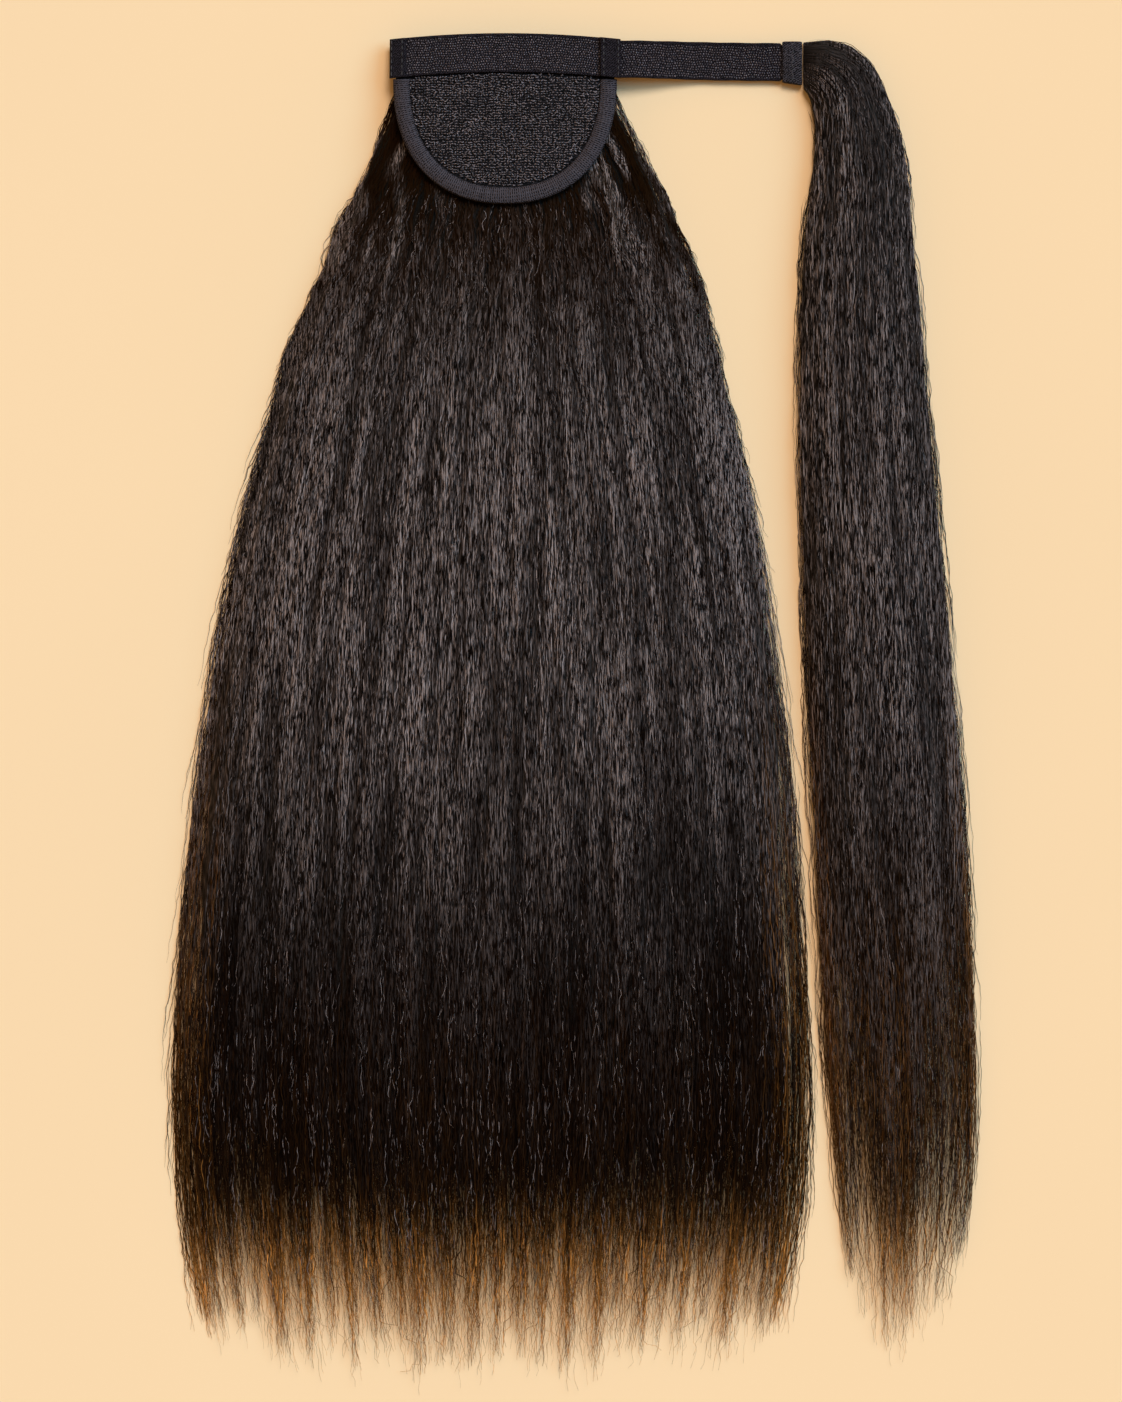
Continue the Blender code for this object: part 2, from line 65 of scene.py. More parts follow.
def readTable(table, at):
    rows = np.array(table, float)  # first column is the key, the rest are read on a smooth curve
    key, values = rows[:, 0], rows[:, 1:]
    slopes = np.gradient(values, key, axis=0)
    at = np.clip(np.asarray(at, float), key[0], key[-1])
    i = np.clip(np.searchsorted(key, at) - 1, 0, len(key) - 2)
    span = (key[i + 1] - key[i])[..., None]
    t = ((at - key[i]) / (key[i + 1] - key[i]))[..., None]
    out = (values[i] * (2 * t**3 - 3 * t**2 + 1) + values[i + 1] * (3 * t**2 - 2 * t**3)
           + slopes[i] * span * (t**3 - 2 * t**2 + t) + slopes[i + 1] * span * (t**3 - t**2))
    return [out[..., k] for k in range(values.shape[1])]


def softNoise(x, y, seed):
    table = np.random.default_rng(seed).uniform(-1, 1, (256, 256))
    x, y = np.broadcast_arrays(np.asarray(x, float), np.asarray(y, float))
    xi, yi = np.floor(x).astype(int), np.floor(y).astype(int)
    fx, fy = smoothStep(x - xi), smoothStep(y - yi)
    at = lambda i, j: table[(xi + i) % 256, (yi + j) % 256]
    low = at(0, 0) * (1 - fx) + at(1, 0) * fx
    high = at(0, 1) * (1 - fx) + at(1, 1) * fx
    return low * (1 - fy) + high * fy


def newObject(name, data):
    item = bpy.data.objects.new(name, data)
    scene.collection.objects.link(item)
    return item


def meshPiece(name, points, faces, material, smooth=True, edges=()):
    mesh = bpy.data.meshes.new(name)
    mesh.from_pydata([tuple(p) for p in np.asarray(points, float)], list(edges), faces)
    mesh.update()
    if material:
        mesh.materials.append(material)
    if smooth and faces:
        mesh.shade_smooth()
    return newObject(name, mesh)


def pointAttribute(piece, name, kind, values):
    layer = piece.data.attributes.new(name, kind, "POINT")
    flat = np.ascontiguousarray(values, np.float32).ravel()
    layer.data.foreach_set("vector" if kind == "FLOAT_VECTOR" else "value", flat)


def cornerUv(piece, uv):
    mesh = piece.data
    layer = mesh.uv_layers.new(name="flow")
    index = np.empty(len(mesh.loops), np.int32)
    mesh.loops.foreach_get("vertex_index", index)
    layer.data.foreach_set("uv", np.ascontiguousarray(np.asarray(uv, np.float32)[index]).ravel())


def faceOut(piece):
    builder = bmesh.new()
    builder.from_mesh(piece.data)
    bmesh.ops.recalc_face_normals(builder, faces=builder.faces)
    builder.to_mesh(piece.data)
    builder.free()
    return piece


# node tree helpers

def newTree(name, sizes):
    tree = bpy.data.node_groups.new(name, "GeometryNodeTree")
    face = tree.interface
    face.new_socket("Geometry", in_out="INPUT", socket_type="NodeSocketGeometry")
    for label, value in sizes.items():
        face.new_socket(label, in_out="INPUT", socket_type="NodeSocketFloat").default_value = value
    face.new_socket("Material", in_out="INPUT", socket_type="NodeSocketMaterial")
    face.new_socket("Geometry", in_out="OUTPUT", socket_type="NodeSocketGeometry")
    return tree, tree.nodes.new("NodeGroupInput").outputs, tree.nodes.new("NodeGroupOutput")


def addNode(tree, kind, settings=None, **inputs):
    node = tree.nodes.new(kind)
    for key, value in (settings or {}).items():
        setattr(node, key, value)
    for key, value in inputs.items():
        numbered = key[0] == "i" and key[1:].isdigit()  # i0 is the first socket, From_Min is "From Min"
        socket = node.inputs[int(key[1:]) if numbered else key.replace("_", " ")]
        if isinstance(value, bpy.types.NodeSocket):
            tree.links.new(value, socket)
        else:
            socket.default_value = value
    return node


def geometry(tree, kind, settings=None, **inputs):
    return addNode(tree, "GeometryNode" + kind, settings, **inputs).outputs[0]


def shading(tree, kind, settings=None, **inputs):
    return addNode(tree, "ShaderNode" + kind, settings, **inputs).outputs[0]


def maths(tree, operation, a, b=0.0, c=0.0):
    return shading(tree, "Math", {"operation": operation}, i0=a, i1=b, i2=c)


def times(tree, product, *factors):
    for factor in factors:
        product = maths(tree, "MULTIPLY", product, factor)
    return product


def vectorMaths(tree, operation, a, b=(0, 0, 0)):
    return shading(tree, "VectorMath", {"operation": operation}, i0=a, i1=b)


def readAttribute(tree, name, kind="FLOAT"):
    return geometry(tree, "InputNamedAttribute", {"data_type": kind}, Name=name)


def growPiece(piece, tree, material, **values):
    modifier = piece.modifiers.new(tree.name, "NODES")
    modifier.node_group = tree
    values["Material"] = material  # the rest of its inputs keep the tree's own sizes
    for item in tree.interface.items_tree:
        if item.item_type == "SOCKET" and item.in_out == "INPUT" and item.name in values:
            modifier[item.identifier] = values[item.name]
    bpy.context.view_layer.update()
    graph = bpy.context.evaluated_depsgraph_get()
    mesh = bpy.data.meshes.new_from_object(piece.evaluated_get(graph))
    piece.modifiers.remove(modifier)
    old = piece.data
    piece.data = mesh
    mesh.name = piece.name
    bpy.data.meshes.remove(old)
    print(f"  {piece.name}: {sum(len(p.vertices) - 2 for p in mesh.polygons)} triangles")
    return piece


# materials

def newMaterial(name, colour, roughness, specular=0.5):
    material = bpy.data.materials.new(name)
    material.use_nodes = True
    shader = material.node_tree.nodes["Principled BSDF"]
    shader.inputs["Base Color"].default_value = (*colour, 1)
    shader.inputs["Roughness"].default_value = roughness
    shader.inputs["Specular IOR Level"].default_value = specular
    return material, material.node_tree, shader


def colourRamp(tree, factor, stops):
    ramp = addNode(tree, "ShaderNodeValToRGB", i0=factor)
    elements = ramp.color_ramp.elements
    while len(elements) < len(stops):
        elements.new(0.5)
    for element, (place, colour) in zip(elements, stops):
        element.position = place
        element.color = (*colour, 1)
    return ramp.outputs["Color"]


def bumpOn(tree, shader, height, distance):
    bump = addNode(tree, "ShaderNodeBump", Height=height, Distance=distance, Strength=1.0)
    tree.links.new(bump.outputs["Normal"], shader.inputs["Normal"])


def noiseOn(tree, place, scale=1.0, detail=2.0, output="Fac"):
    return addNode(tree, "ShaderNodeTexNoise", Vector=place, Scale=scale, Detail=detail).outputs[output]


def objectPlace(tree):
    return addNode(tree, "ShaderNodeTexCoord").outputs["Object"]


def shaded(colour, amount):
    return tuple(c * amount for c in colour)


def paint(tree, shader, colour):
    tree.links.new(colour, shader.inputs["Base Color"])


def meshAttribute(tree, name):
    return addNode(tree, "ShaderNodeAttribute", {"attribute_name": name}).outputs["Fac"]


def remap(tree, value, **limits):
    return shading(tree, "MapRange", Value=value, **limits)


def blendColours(tree, shader, share, first, second):
    mix = addNode(tree, "ShaderNodeMix", {"data_type": "RGBA"}, i0=share, i6=first, i7=second)
    paint(tree, shader, mix.outputs[2])


def hairFibre(name, dark, light, tip):
    material, tree, shader = newMaterial(name, dark, 0.40)
    toneAndLockShade, thin, paintedSheen = (meshAttribute(tree, n) for n in ("toneAndLockShade", "thin", "paintedSheen"))
    glint = noiseOn(tree, vectorMaths(tree, "MULTIPLY", objectPlace(tree), (2100, 150, 500)))
    spark = remap(tree, glint, From_Min=0.44, From_Max=0.59)
    # painted sheen and the glint noise lift the colour towards the light colour: painted highlights and glints
    level = times(tree, spark, paintedSheen, maths(tree, "MULTIPLY_ADD", toneAndLockShade, 0.85, 0.15))
    between = tuple(d + (l - d) * 0.25 for d, l in zip(dark, light))
    body = colourRamp(tree, level, [(0.0, dark), (0.30, between), (1.0, light)])
    lit = maths(tree, "MULTIPLY_ADD", spark, 0.5, 0.5)
    # painted glow through thin ends; its brightest stops are painted golden glints
    warm = colourRamp(tree, times(tree, thin, lit),
                      [(0.0, shaded(tip, 0.25)), (0.50, shaded(tip, 1.5)), (1.0, shaded(tip, 5.2))])
    blendColours(tree, shader, thin, body, warm)
    tree.links.new(remap(tree, paintedSheen, To_Min=0.85, To_Max=0.31), shader.inputs["Roughness"])
    tree.links.new(remap(tree, paintedSheen, To_Min=0.008, To_Max=0.038), shader.inputs["Specular IOR Level"])
    return material


def hairDepth(name, dark, light, tip):
    material, tree, shader = newMaterial(name, dark, 0.6, 0.10)
    flow = shading(tree, "UVMap", {"uv_map": "flow"})
    crimped = noiseOn(tree, vectorMaths(tree, "MULTIPLY", flow, (300, 170, 1)), output="Color")
    bent = vectorMaths(tree, "ADD", vectorMaths(tree, "MULTIPLY", flow, (1500, 150, 1)),
                       vectorMaths(tree, "MULTIPLY", crimped, (1.4, 0, 0)))
    fine = noiseOn(tree, bent, detail=3.0)
    spark = remap(tree, fine, From_Min=0.42, From_Max=0.72)
    # painted sheen lifts this layer's streaks towards its light colour: painted highlights
    body = colourRamp(tree, times(tree, spark, meshAttribute(tree, "paintedSheen")), [(0.0, dark), (1.0, light)])
    # painted glow through thin ends; its brightest stop is a painted golden glint
    warm = colourRamp(tree, fine, [(0.40, shaded(tip, 0.25)), (0.58, tip), (0.70, shaded(tip, 4.0))])
    blendColours(tree, shader, meshAttribute(tree, "thin"), body, warm)
    bumpOn(tree, shader, fine, 0.0008)
    return material


def loopCloth():
    material, tree, shader = newMaterial("loopCloth", (0.008, 0.008, 0.010), 0.9, 0.08)
    rows = noiseOn(tree, vectorMaths(tree, "MULTIPLY", objectPlace(tree), (1.0, 1.6, 1.0)), 900, 3.0)
    # near black between the loops: painted shade
    colour = colourRamp(tree, rows, [(0.45, (0.0008, 0.0007, 0.0011)), (0.68, (0.014, 0.013, 0.018))])
    paint(tree, shader, colour)
    bumpOn(tree, shader, rows, 0.0005)
    return material


def wovenTape(name, dark, light, pitch, across=(1.0, 1.0)):
    material, tree, shader = newMaterial(name, dark, 0.8, 0.05)
    flow = shading(tree, "UVMap", {"uv_map": "flow"})
    cells = addNode(tree, "ShaderNodeMapping", Vector=flow, Scale=(across[0] / pitch, across[1] / pitch, 1))
    parts = addNode(tree, "ShaderNodeSeparateXYZ", Vector=cells.outputs[0])
    wobble = times(tree, noiseOn(tree, flow, 900), 1.6)
    warp, weft = (maths(tree, "SINE", times(tree, maths(tree, "ADD", parts.outputs[k], wobble), 2 * math.pi))
                  for k in (0, 1))
    weave = maths(tree, "MULTIPLY_ADD", times(tree, warp, weft), 0.5, 0.5)
    speckle = maths(tree, "ADD", times(tree, weave, 0.35), times(tree, noiseOn(tree, flow, 1500), 0.65))
    paint(tree, shader, colourRamp(tree, speckle, [(0.46, dark), (0.58, light)]))
    bumpOn(tree, shader, weave, 0.00025)
    return material


def plainThread(name, colour, roughness, depth=0.45):
    material, tree, shader = newMaterial(name, colour, roughness, 0.4)
    noise = noiseOn(tree, objectPlace(tree), 1500)
    light = tuple(min(1, c * (2.15 - depth)) for c in colour)
    paint(tree, shader, colourRamp(tree, noise, [(0.3, shaded(colour, depth)), (0.7, light)]))
    return material


# the light colours are painted highlight colours; the tip colours stand for painted glow through thin hair and
# its painted golden glints
fibreLook = hairFibre("hairFibre", (0.0018, 0.0008, 0.0006), (0.240, 0.204, 0.218), (0.135, 0.058, 0.0145))
depthLook = hairDepth("hairDepth", (0.0008, 0.0004, 0.0003), (0.078, 0.065, 0.070), (0.024, 0.0120, 0.0045))
loopLook = loopCloth()
# pile thread lighter than the patch's own grey: partly painted highlight on the loops
pileLook = plainThread("pileThread", (0.102, 0.089, 0.106), 0.35, 0.05)
bindingLook = wovenTape("bindingWeave", (0.0012, 0.0011, 0.0018), (0.054, 0.049, 0.063), 0.0010, (1.0, 0.7))
# the tape's own dark colour, partly darkened further as painted shade between the hooks
tapeLook = wovenTape("hookTapeWeave", (0.0012, 0.0010, 0.0017), (0.022, 0.019, 0.027), 0.0011)
# hooks lighter than the tape: partly painted highlight on the hooks
hookLook = plainThread("hookMonofilament", (0.108, 0.096, 0.120), 0.4, 0.1)
threadLook = plainThread("sewingThread", (0.028, 0.028, 0.036), 0.6)
print("materials ready")


# patch and band

tapeThickness = 0.0015
band = {"length": 0.096, "width": 0.0166, "arch": 0.0024, "endHem": 0.006, "endHemThickness": 0.0010,
        "jointHem": 0.0082, "hemStep": 0.0009}
patch = {"width": 0.093, "depth": 0.0528, "squareness": 2.25, "cloth": 0.0018, "fieldMargin": 0.0010,
         "pile": 0.0004, "binding": 0.0069, "wall": 0.0008, "heel": 0.0060, "lift": 0.0160,
         "bow": 0.0028}  # cloth, wall: how thick its cloth and the binding tape are
bundle = {"length": 0.5515, "width": 0.2640, "height": 0.0320, "drift": 0.0060, "root": 0.0080, "swell": 0.16,
          "edge": 0.0022}

low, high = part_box("top_band")[0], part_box("ponytail_hair")[1]
shift = np.array([low[0] + band["length"] / 2, high[1] + bundle["root"], 0.0])  # drawing frame to CAD frame


def bandMiddleY(x):
    return -band["width"] / 2 + band["arch"] * (1 - (2 * x / band["length"]) ** 2)


bandFootY = -band["width"]
patchBottomY = bandFootY - patch["depth"]


def underside(x, y):
    return patch["heel"] - patch["lift"] / -patchBottomY * y - patch["bow"] * (2 * x / patch["width"]) ** 2


def patchPoint(turn, inset=0.0):
    power = 2 / patch["squareness"]
    angle = math.pi * np.asarray(turn, float)
    across, down = np.cos(angle), np.maximum(np.sin(angle), 0)
    x = patch["width"] / 2 * np.sign(across) * np.abs(across) ** power
    y = bandFootY - patch["depth"] * down**power
    outX = np.sign(across) * np.abs(across) ** (2 - power) / (patch["width"] / 2)
    outY = -(down ** (2 - power)) / patch["depth"]
    length = np.hypot(outX, outY)
    return x - inset * outX / length, y - inset * outY / length


def insideBinding(x, y, margin=0.0):
    inner, depth = patch["width"] / 2 - patch["binding"] - margin, patch["depth"] - patch["binding"] - margin
    reach = (np.abs(x) / inner) ** patch["squareness"]
    return reach + (np.maximum(bandFootY - y, 0) / depth) ** patch["squareness"]  # 1 on its inner edge


bandLevel = patch["cloth"] + fitGap


def toFrame(points):
    return np.asarray(points, float) + shift


def tubeFaces(rows, count, closed=False):
    faces = []
    for i in range(rows if closed else rows - 1):
        a, b = i * count, (i + 1) % rows * count
        for k in range(count):
            n = (k + 1) % count
            faces.append((a + k, a + n, b + n, b + k))
    return faces


def sweep(name, rings, material, uv):
    rings = np.asarray(rings, float)
    rows, count = rings.shape[:2]
    faces = tubeFaces(rows, count)
    faces.append(tuple(range(count)))
    faces.append(tuple(reversed(range((rows - 1) * count, rows * count))))
    piece = meshPiece(name, toFrame(rings.reshape(-1, 3)), faces, material)
    cornerUv(piece, np.asarray(uv, float).reshape(-1, 2))
    faceOut(piece)
    piece.data.set_sharp_from_angle(angle=sharpAngle)
    return piece


tapeOutline = [  # across, up
    (-1, 0.35), (-1, 0.7), (-0.985, 0.93), (-0.95, 1.0), (-0.87, 1.03), (-0.85, 0.94), (-0.4, 0.95),
    (0.0, 0.95), (0.4, 0.95), (0.85, 0.94), (0.87, 1.03), (0.95, 1.0), (0.985, 0.93), (1, 0.7), (1, 0.35),
    (0.97, 0.04), (0.9, 0.0), (0.0, 0.0), (-0.9, 0.0), (-0.97, 0.04)]


def makeField():
    inset = patch["wall"] + fitGap
    columns, rows = 61, 40
    turns = np.linspace(0, 1, columns)
    x, lowY = patchPoint(turns, inset)
    highY = bandMiddleY(x) + band["width"] / 2 - patch["fieldMargin"]
    share = np.linspace(0, 1, rows)[:, None]
    y = highY + (lowY - highY) * share
    x = np.broadcast_to(x, y.shape)
    under = underside(x, y)
    inner = patch["width"] / 2 - patch["binding"]
    inside = inner * (1 - np.minimum(insideBinding(x, y), 1) ** (1 / patch["squareness"]))
    below = bandMiddleY(x) - band["width"] / 2 - fitGap - y
    soft = 0.00025 * softNoise(x / 0.009, y / 0.009, 5)
    puff = smoothStep(np.minimum(below, inside) / 0.004)  # flat where it is sewn down
    top = under + patch["cloth"] + (patch["pile"] + soft) * puff
    points = np.concatenate([np.stack([x, y, z], -1).reshape(-1, 3) for z in (top, under)])
    faces, n = [], columns * rows
    at = lambda i, j: i * columns + j
    for i in range(rows - 1):
        for j in range(columns - 1):
            quad = (at(i, j), at(i, j + 1), at(i + 1, j + 1), at(i + 1, j))
            faces += [quad, tuple(n + v for v in reversed(quad))]
    rim = [at(0, j) for j in range(columns)] + [at(i, columns - 1) for i in range(1, rows)]
    rim += [at(rows - 1, j) for j in range(columns - 2, -1, -1)] + [at(i, 0) for i in range(rows - 2, 0, -1)]
    faces += [(a, b, n + b, n + a) for a, b in zip(rim, rim[1:] + rim[:1])]
    piece = meshPiece("loopPatch", toFrame(points), faces, loopLook)
    faceOut(piece)
    piece.data.set_sharp_from_angle(angle=sharpAngle)
    return piece


def instanceTree(name, makeShape, sizes):
    tree, get, end = newTree(name, sizes)
    shape = geometry(tree, "SetShadeSmooth", Geometry=makeShape(tree, get))
    points = geometry(tree, "MeshToPoints", Mesh=get["Geometry"])
    turn, size = (readAttribute(tree, label, "FLOAT_VECTOR") for label in ("turn", "size"))
    copies = geometry(tree, "InstanceOnPoints", Points=points, Instance=shape, Rotation=turn, Scale=size)
    real = geometry(tree, "RealizeInstances", i0=copies)
    look = geometry(tree, "SetMaterial", Geometry=real, Material=get["Material"])
    tree.links.new(look, end.inputs[0])
    return tree


def loopShape(tree, get):
    arc = geometry(tree, "CurveArc", Resolution=4, Radius=get["Radius"], Start_Angle=math.radians(-15),
                   Sweep_Angle=math.radians(210))
    ring = geometry(tree, "CurvePrimitiveCircle", Resolution=3, Radius=get["Thread"])
    tube = geometry(tree, "CurveToMesh", Curve=arc, Profile_Curve=ring, Fill_Caps=True)
    return geometry(tree, "Transform", Geometry=tube, Rotation=(math.radians(90), 0, 0))


loopTree = instanceTree("loopRows", loopShape, {"Radius": 0.00042, "Thread": 0.00023})


def pointCloud(name, places, turns, sizes):
    piece = meshPiece(name, toFrame(places), [], None)
    pointAttribute(piece, "turn", "FLOAT_VECTOR", turns)
    pointAttribute(piece, "size", "FLOAT_VECTOR", sizes)
    return piece


pile = {"pitch": 0.00108, "seed": 11, "jitter": (0.20, 0.10), "sway": 0.0005, "tilt": (0.45, 0.25, 0.55),
        "sizes": (0.7, 1.25), "margin": 0.0003}


def makeLoops():
    rng = np.random.default_rng(pile["seed"])
    half = patch["width"] / 2
    xs, ys = np.meshgrid(np.arange(-half, half, pile["pitch"]), np.arange(patchBottomY, 0, pile["pitch"]))
    xs, ys = xs.ravel(), ys.ravel()
    xs = xs + rng.normal(0, pile["jitter"][0], xs.shape) * pile["pitch"]
    sway = pile["sway"] * softNoise(xs / 0.005, ys / 0.004, 8)
    ys = ys + rng.normal(0, pile["jitter"][1], ys.shape) * pile["pitch"] + sway
    below = ys < bandMiddleY(xs) - band["width"] / 2 - 2 * pile["margin"]
    keep = (insideBinding(xs, ys, pile["margin"]) < 1) & below
    xs, ys = xs[keep], ys[keep]
    zs = underside(xs, ys) + patch["cloth"] + patch["pile"] * 0.8
    turns = np.stack([rng.normal(0, tilt, len(xs)) for tilt in pile["tilt"]], 1)
    sizes = np.repeat(rng.uniform(*pile["sizes"], len(xs))[:, None], 3, 1)
    piece = pointCloud("patchLoops", np.stack([xs, ys, zs], 1), turns, sizes)
    return growPiece(piece, loopTree, pileLook)


def makeBinding():
    over = patch["cloth"] + fitGap
    wall, wide = patch["wall"], patch["binding"]
    crest, foot = over + wall, -fitGap - wall
    section = [  # inwards, up
        (0.0, over * 0.5), (0.0, over), (0.00012, over + 0.45 * wall), (0.0004, crest - 0.00008),
        (0.0010, crest), (wide * 0.4, crest + 0.00006), (wide * 0.8, crest),
        (wide - 0.0003, crest - 0.00005), (wide, over + 0.4 * wall), (wide - 0.0001, over),
        (wall * 1.5, over), (wall, over - 0.0002), (wall, 0.0), (wall * 1.5, -fitGap),
        (wide - 0.0001, -fitGap), (wide, foot + 0.3 * wall), (wide - 0.0003, foot), (0.0010, foot),
        (0.0004, foot + 0.00008), (0.00012, foot + 0.0003), (0.0, 0.0)]
    rings, uv = [], []
    turns = np.linspace(0, 1, 181)
    edgeX, edgeY = patchPoint(turns)
    along = runAlong(edgeX, edgeY)
    girth = np.concatenate([[0], np.cumsum([math.dist(a, b) for a, b in zip(section, section[1:])])])
    for turn, run in zip(turns, along):
        ring = []
        for inset, up in section:
            x, y = patchPoint(turn, inset)
            y = y - fitGap
            ring.append((x, y, underside(x, y) + up))
        rings.append(ring)
        uv.append([(run, reach) for reach in girth])
    return sweep("edgeBinding", rings, bindingLook, uv)


ribs = {"pitch": 0.00090, "width": 0.00054, "share": 0.93, "seed": 3,
        "sizes": ((0.86, 1.02), (0.7, 1.25), (0.25, 0.60))}  # along each rib, across it, up


def ribShape(tree, get):
    bar = geometry(tree, "MeshCylinder", Vertices=6, Radius=get["Radius"], Depth=get["Length"])
    return geometry(tree, "Transform", Geometry=bar, Rotation=(0, math.radians(90), 0))


ribTree = instanceTree("bindingRibs", ribShape,
                       {"Radius": ribs["width"] / 2, "Length": patch["binding"] * ribs["share"]})


def makeRibs():
    fine = np.linspace(0, 1, 2001)
    edgeX, edgeY = patchPoint(fine, patch["binding"] / 2)
    along = runAlong(edgeX, edgeY)
    count = int(along[-1] / ribs["pitch"])
    turns = np.interp((np.arange(count) + 0.5) / count * along[-1], along, fine)
    x, y = patchPoint(turns, patch["binding"] / 2)
    outX, outY = patchPoint(turns, 0.0)
    y, outY = y - fitGap, outY - fitGap
    z = underside(x, y) + patch["cloth"] + fitGap + patch["wall"]
    rise = (underside(outX, outY) - underside(x, y)) / np.hypot(outX - x, outY - y)
    turnsXyz = np.stack([np.zeros(count), -np.arctan(rise), np.arctan2(outY - y, outX - x)], 1)
    rng = np.random.default_rng(ribs["seed"])
    sizes = np.stack([rng.uniform(*limits, count) for limits in ribs["sizes"]], 1)
    piece = pointCloud("bindingRibs", np.stack([x, y, z], 1), turnsXyz, sizes)
    return growPiece(piece, ribTree, bindingLook)


bandHalf = band["length"] / 2
hemLeft, hemRight = -bandHalf + band["endHem"], bandHalf - band["jointHem"]  # where the two hems end


def bandSteps(x):
    fold = 1 - ease(x, hemLeft, band["hemStep"])  # 1 on the left hem
    step = smoothStep((x - (hemRight - band["hemStep"])) / band["hemStep"])  # 1 over the strap
    return band["endHemThickness"] * fold, (tapeThickness + fitGap) * step


def makeBand():
    rise = np.linspace(0, 1, 5) * band["hemStep"]
    xs = [-bandHalf + np.array([0, 0.0001, 0.0003, 0.0007]),
          np.linspace(-bandHalf + 0.0014, hemLeft - 0.0003, 5), hemLeft + rise,
          np.linspace(hemLeft + 0.0015, hemRight - 0.0015, 60), hemRight - band["hemStep"] + rise,
          np.linspace(hemRight + 0.0006, bandHalf - 0.0004, 8), [bandHalf]]
    rings, uv = [], []
    for x in np.concatenate(xs):
        hem, under = bandSteps(x)
        thick = tapeThickness + hem
        near = 1 - min(1.0, (x + bandHalf) / 0.0007)
        nip = 0.5 - 0.5 * math.sqrt(max(0.0, 1 - near**2))  # the fold's round end
        ring = []
        for across, up in tapeOutline:
            y = bandMiddleY(x) + across * band["width"] / 2
            ring.append((x, y, underside(x, y) + bandLevel + under + thick * (nip + (1 - 2 * nip) * up)))
        rings.append(ring)
        uv.append([(x, across * band["width"] / 2) for across, up in tapeOutline])
    return sweep("hookBand", rings, tapeLook, uv)


def bandTop(x, y):
    hem, under = bandSteps(x)
    return underside(x, y) + bandLevel + tapeThickness * 0.95 + hem + under


# strap and tab

strap = {"width": 0.0158, "reach": 0.0674, "dip": 0.0008, "twistShare": 0.55, "shoulder": 0.0006}
tab = {"length": 0.0082, "lip": 0.0006, "flare": 0.0012, "wall": 0.0010, "clearance": 0.0010}
tabStartX = bandHalf + strap["reach"]
tabEndX = tabStartX + tab["length"]
tabMiddleY = -band["width"] / 2 - strap["dip"]
tuckedHalf = strap["width"] / 2 + tab["lip"] - tab["wall"] - fitGap
strapRest = tab["clearance"] + tab["wall"] + fitGap


def strapFoot(x):
    settled = smoothStep((x - bandHalf) / (strap["twistShare"] * strap["reach"]))
    beyond = -band["width"] / 2 - strap["dip"] * ease(x, bandHalf, strap["reach"])
    middle = np.where(x > bandHalf, beyond, bandMiddleY(x))
    onPatch = underside(np.minimum(x, bandHalf), middle) + bandLevel
    lean = patch["lift"] / -patchBottomY * (1 - settled)
    return middle, onPatch + (strapRest - onPatch) * settled, lean


def makeStrap():
    root = hemRight + band["hemStep"] + fitGap
    mouth = tabStartX - fitGap
    xs = [*np.linspace(root, mouth - strap["shoulder"], 60), mouth, tabStartX + (tab["length"] - fitGap) / 2]
    rings, uv = [], []
    for x in xs:
        middle, foot, lean = (float(v) for v in strapFoot(np.array(x)))
        half = strap["width"] / 2 if x < mouth else tuckedHalf
        wave = 0.00006 * math.sin(x / 0.0021)
        rings.append([(x, middle + across * half + wave, foot - lean * across * half + up * tapeThickness)
                      for across, up in tapeOutline])
        uv.append([(x, across * half) for across, up in tapeOutline])
    return sweep("hookStrap", rings, tapeLook, uv)


def roundedBox(x, middle, z, across, up, radius, bulge=0.0, steps=5):
    ring = []
    for corner, (sideY, sideZ) in enumerate(((1, -1), (1, 1), (-1, 1), (-1, -1))):
        for j in range(steps):
            angle = math.pi / 2 * (corner - 1 + j / (steps - 1))
            ring.append((x, middle + sideY * (across - radius) + radius * math.cos(angle),
                         z + sideZ * (up - radius) + radius * math.sin(angle) + bulge * sideZ))
    return ring


def makeTab():
    inner = tapeThickness + 2 * fitGap
    z = tab["clearance"] + tab["wall"] + inner / 2
    outside, inside = [], []
    for x in (0, 0.0002, 0.0008, 0.0018, 0.0030, 0.0041, 0.0052, 0.0064, 0.0074, 0.0080, tab["length"]):
        share = x / tab["length"]
        half = strap["width"] / 2 + tab["lip"] + tab["flare"] / 2 * share
        tuck = 0.00022 * (1 - smoothStep(min(x, tab["length"] - x) / 0.0006))  # soft mouth edges
        bulge = 0.00018 * math.sin(math.pi * share)
        outside.append(roundedBox(tabStartX + x, tabMiddleY - tab["flare"] / 2 * share, z, half - tuck,
                                  inner / 2 + tab["wall"] - tuck, 0.0009, bulge))
        inside.append(roundedBox(tabStartX + x, tabMiddleY, z, tuckedHalf + fitGap, inner / 2, 0.0004))
    rings = np.array(outside + inside[::-1])
    faces = tubeFaces(*rings.shape[:2], closed=True)
    piece = meshPiece("foldedTab", toFrame(rings.reshape(-1, 3)), faces, bindingLook)
    cornerUv(piece, np.stack([rings[..., 1], rings[..., 0] + rings[..., 2]], -1).reshape(-1, 2))
    return faceOut(piece)


hooks = {"pitch": 0.00104, "tip": 0.00016, "selvage": 0.0013, "seed": 21, "jitter": (0.00010, 0.00006),
         "tilt": 0.5, "sizes": (0.75, 1.25)}


def hookShape(tree, get):
    return geometry(tree, "MeshCone", Vertices=4, Radius_Top=hooks["tip"], Radius_Bottom=get["Radius"],
                    Depth=get["Height"])


hookTree = instanceTree("hookRows", hookShape, {"Radius": 0.00033, "Height": 0.00040})


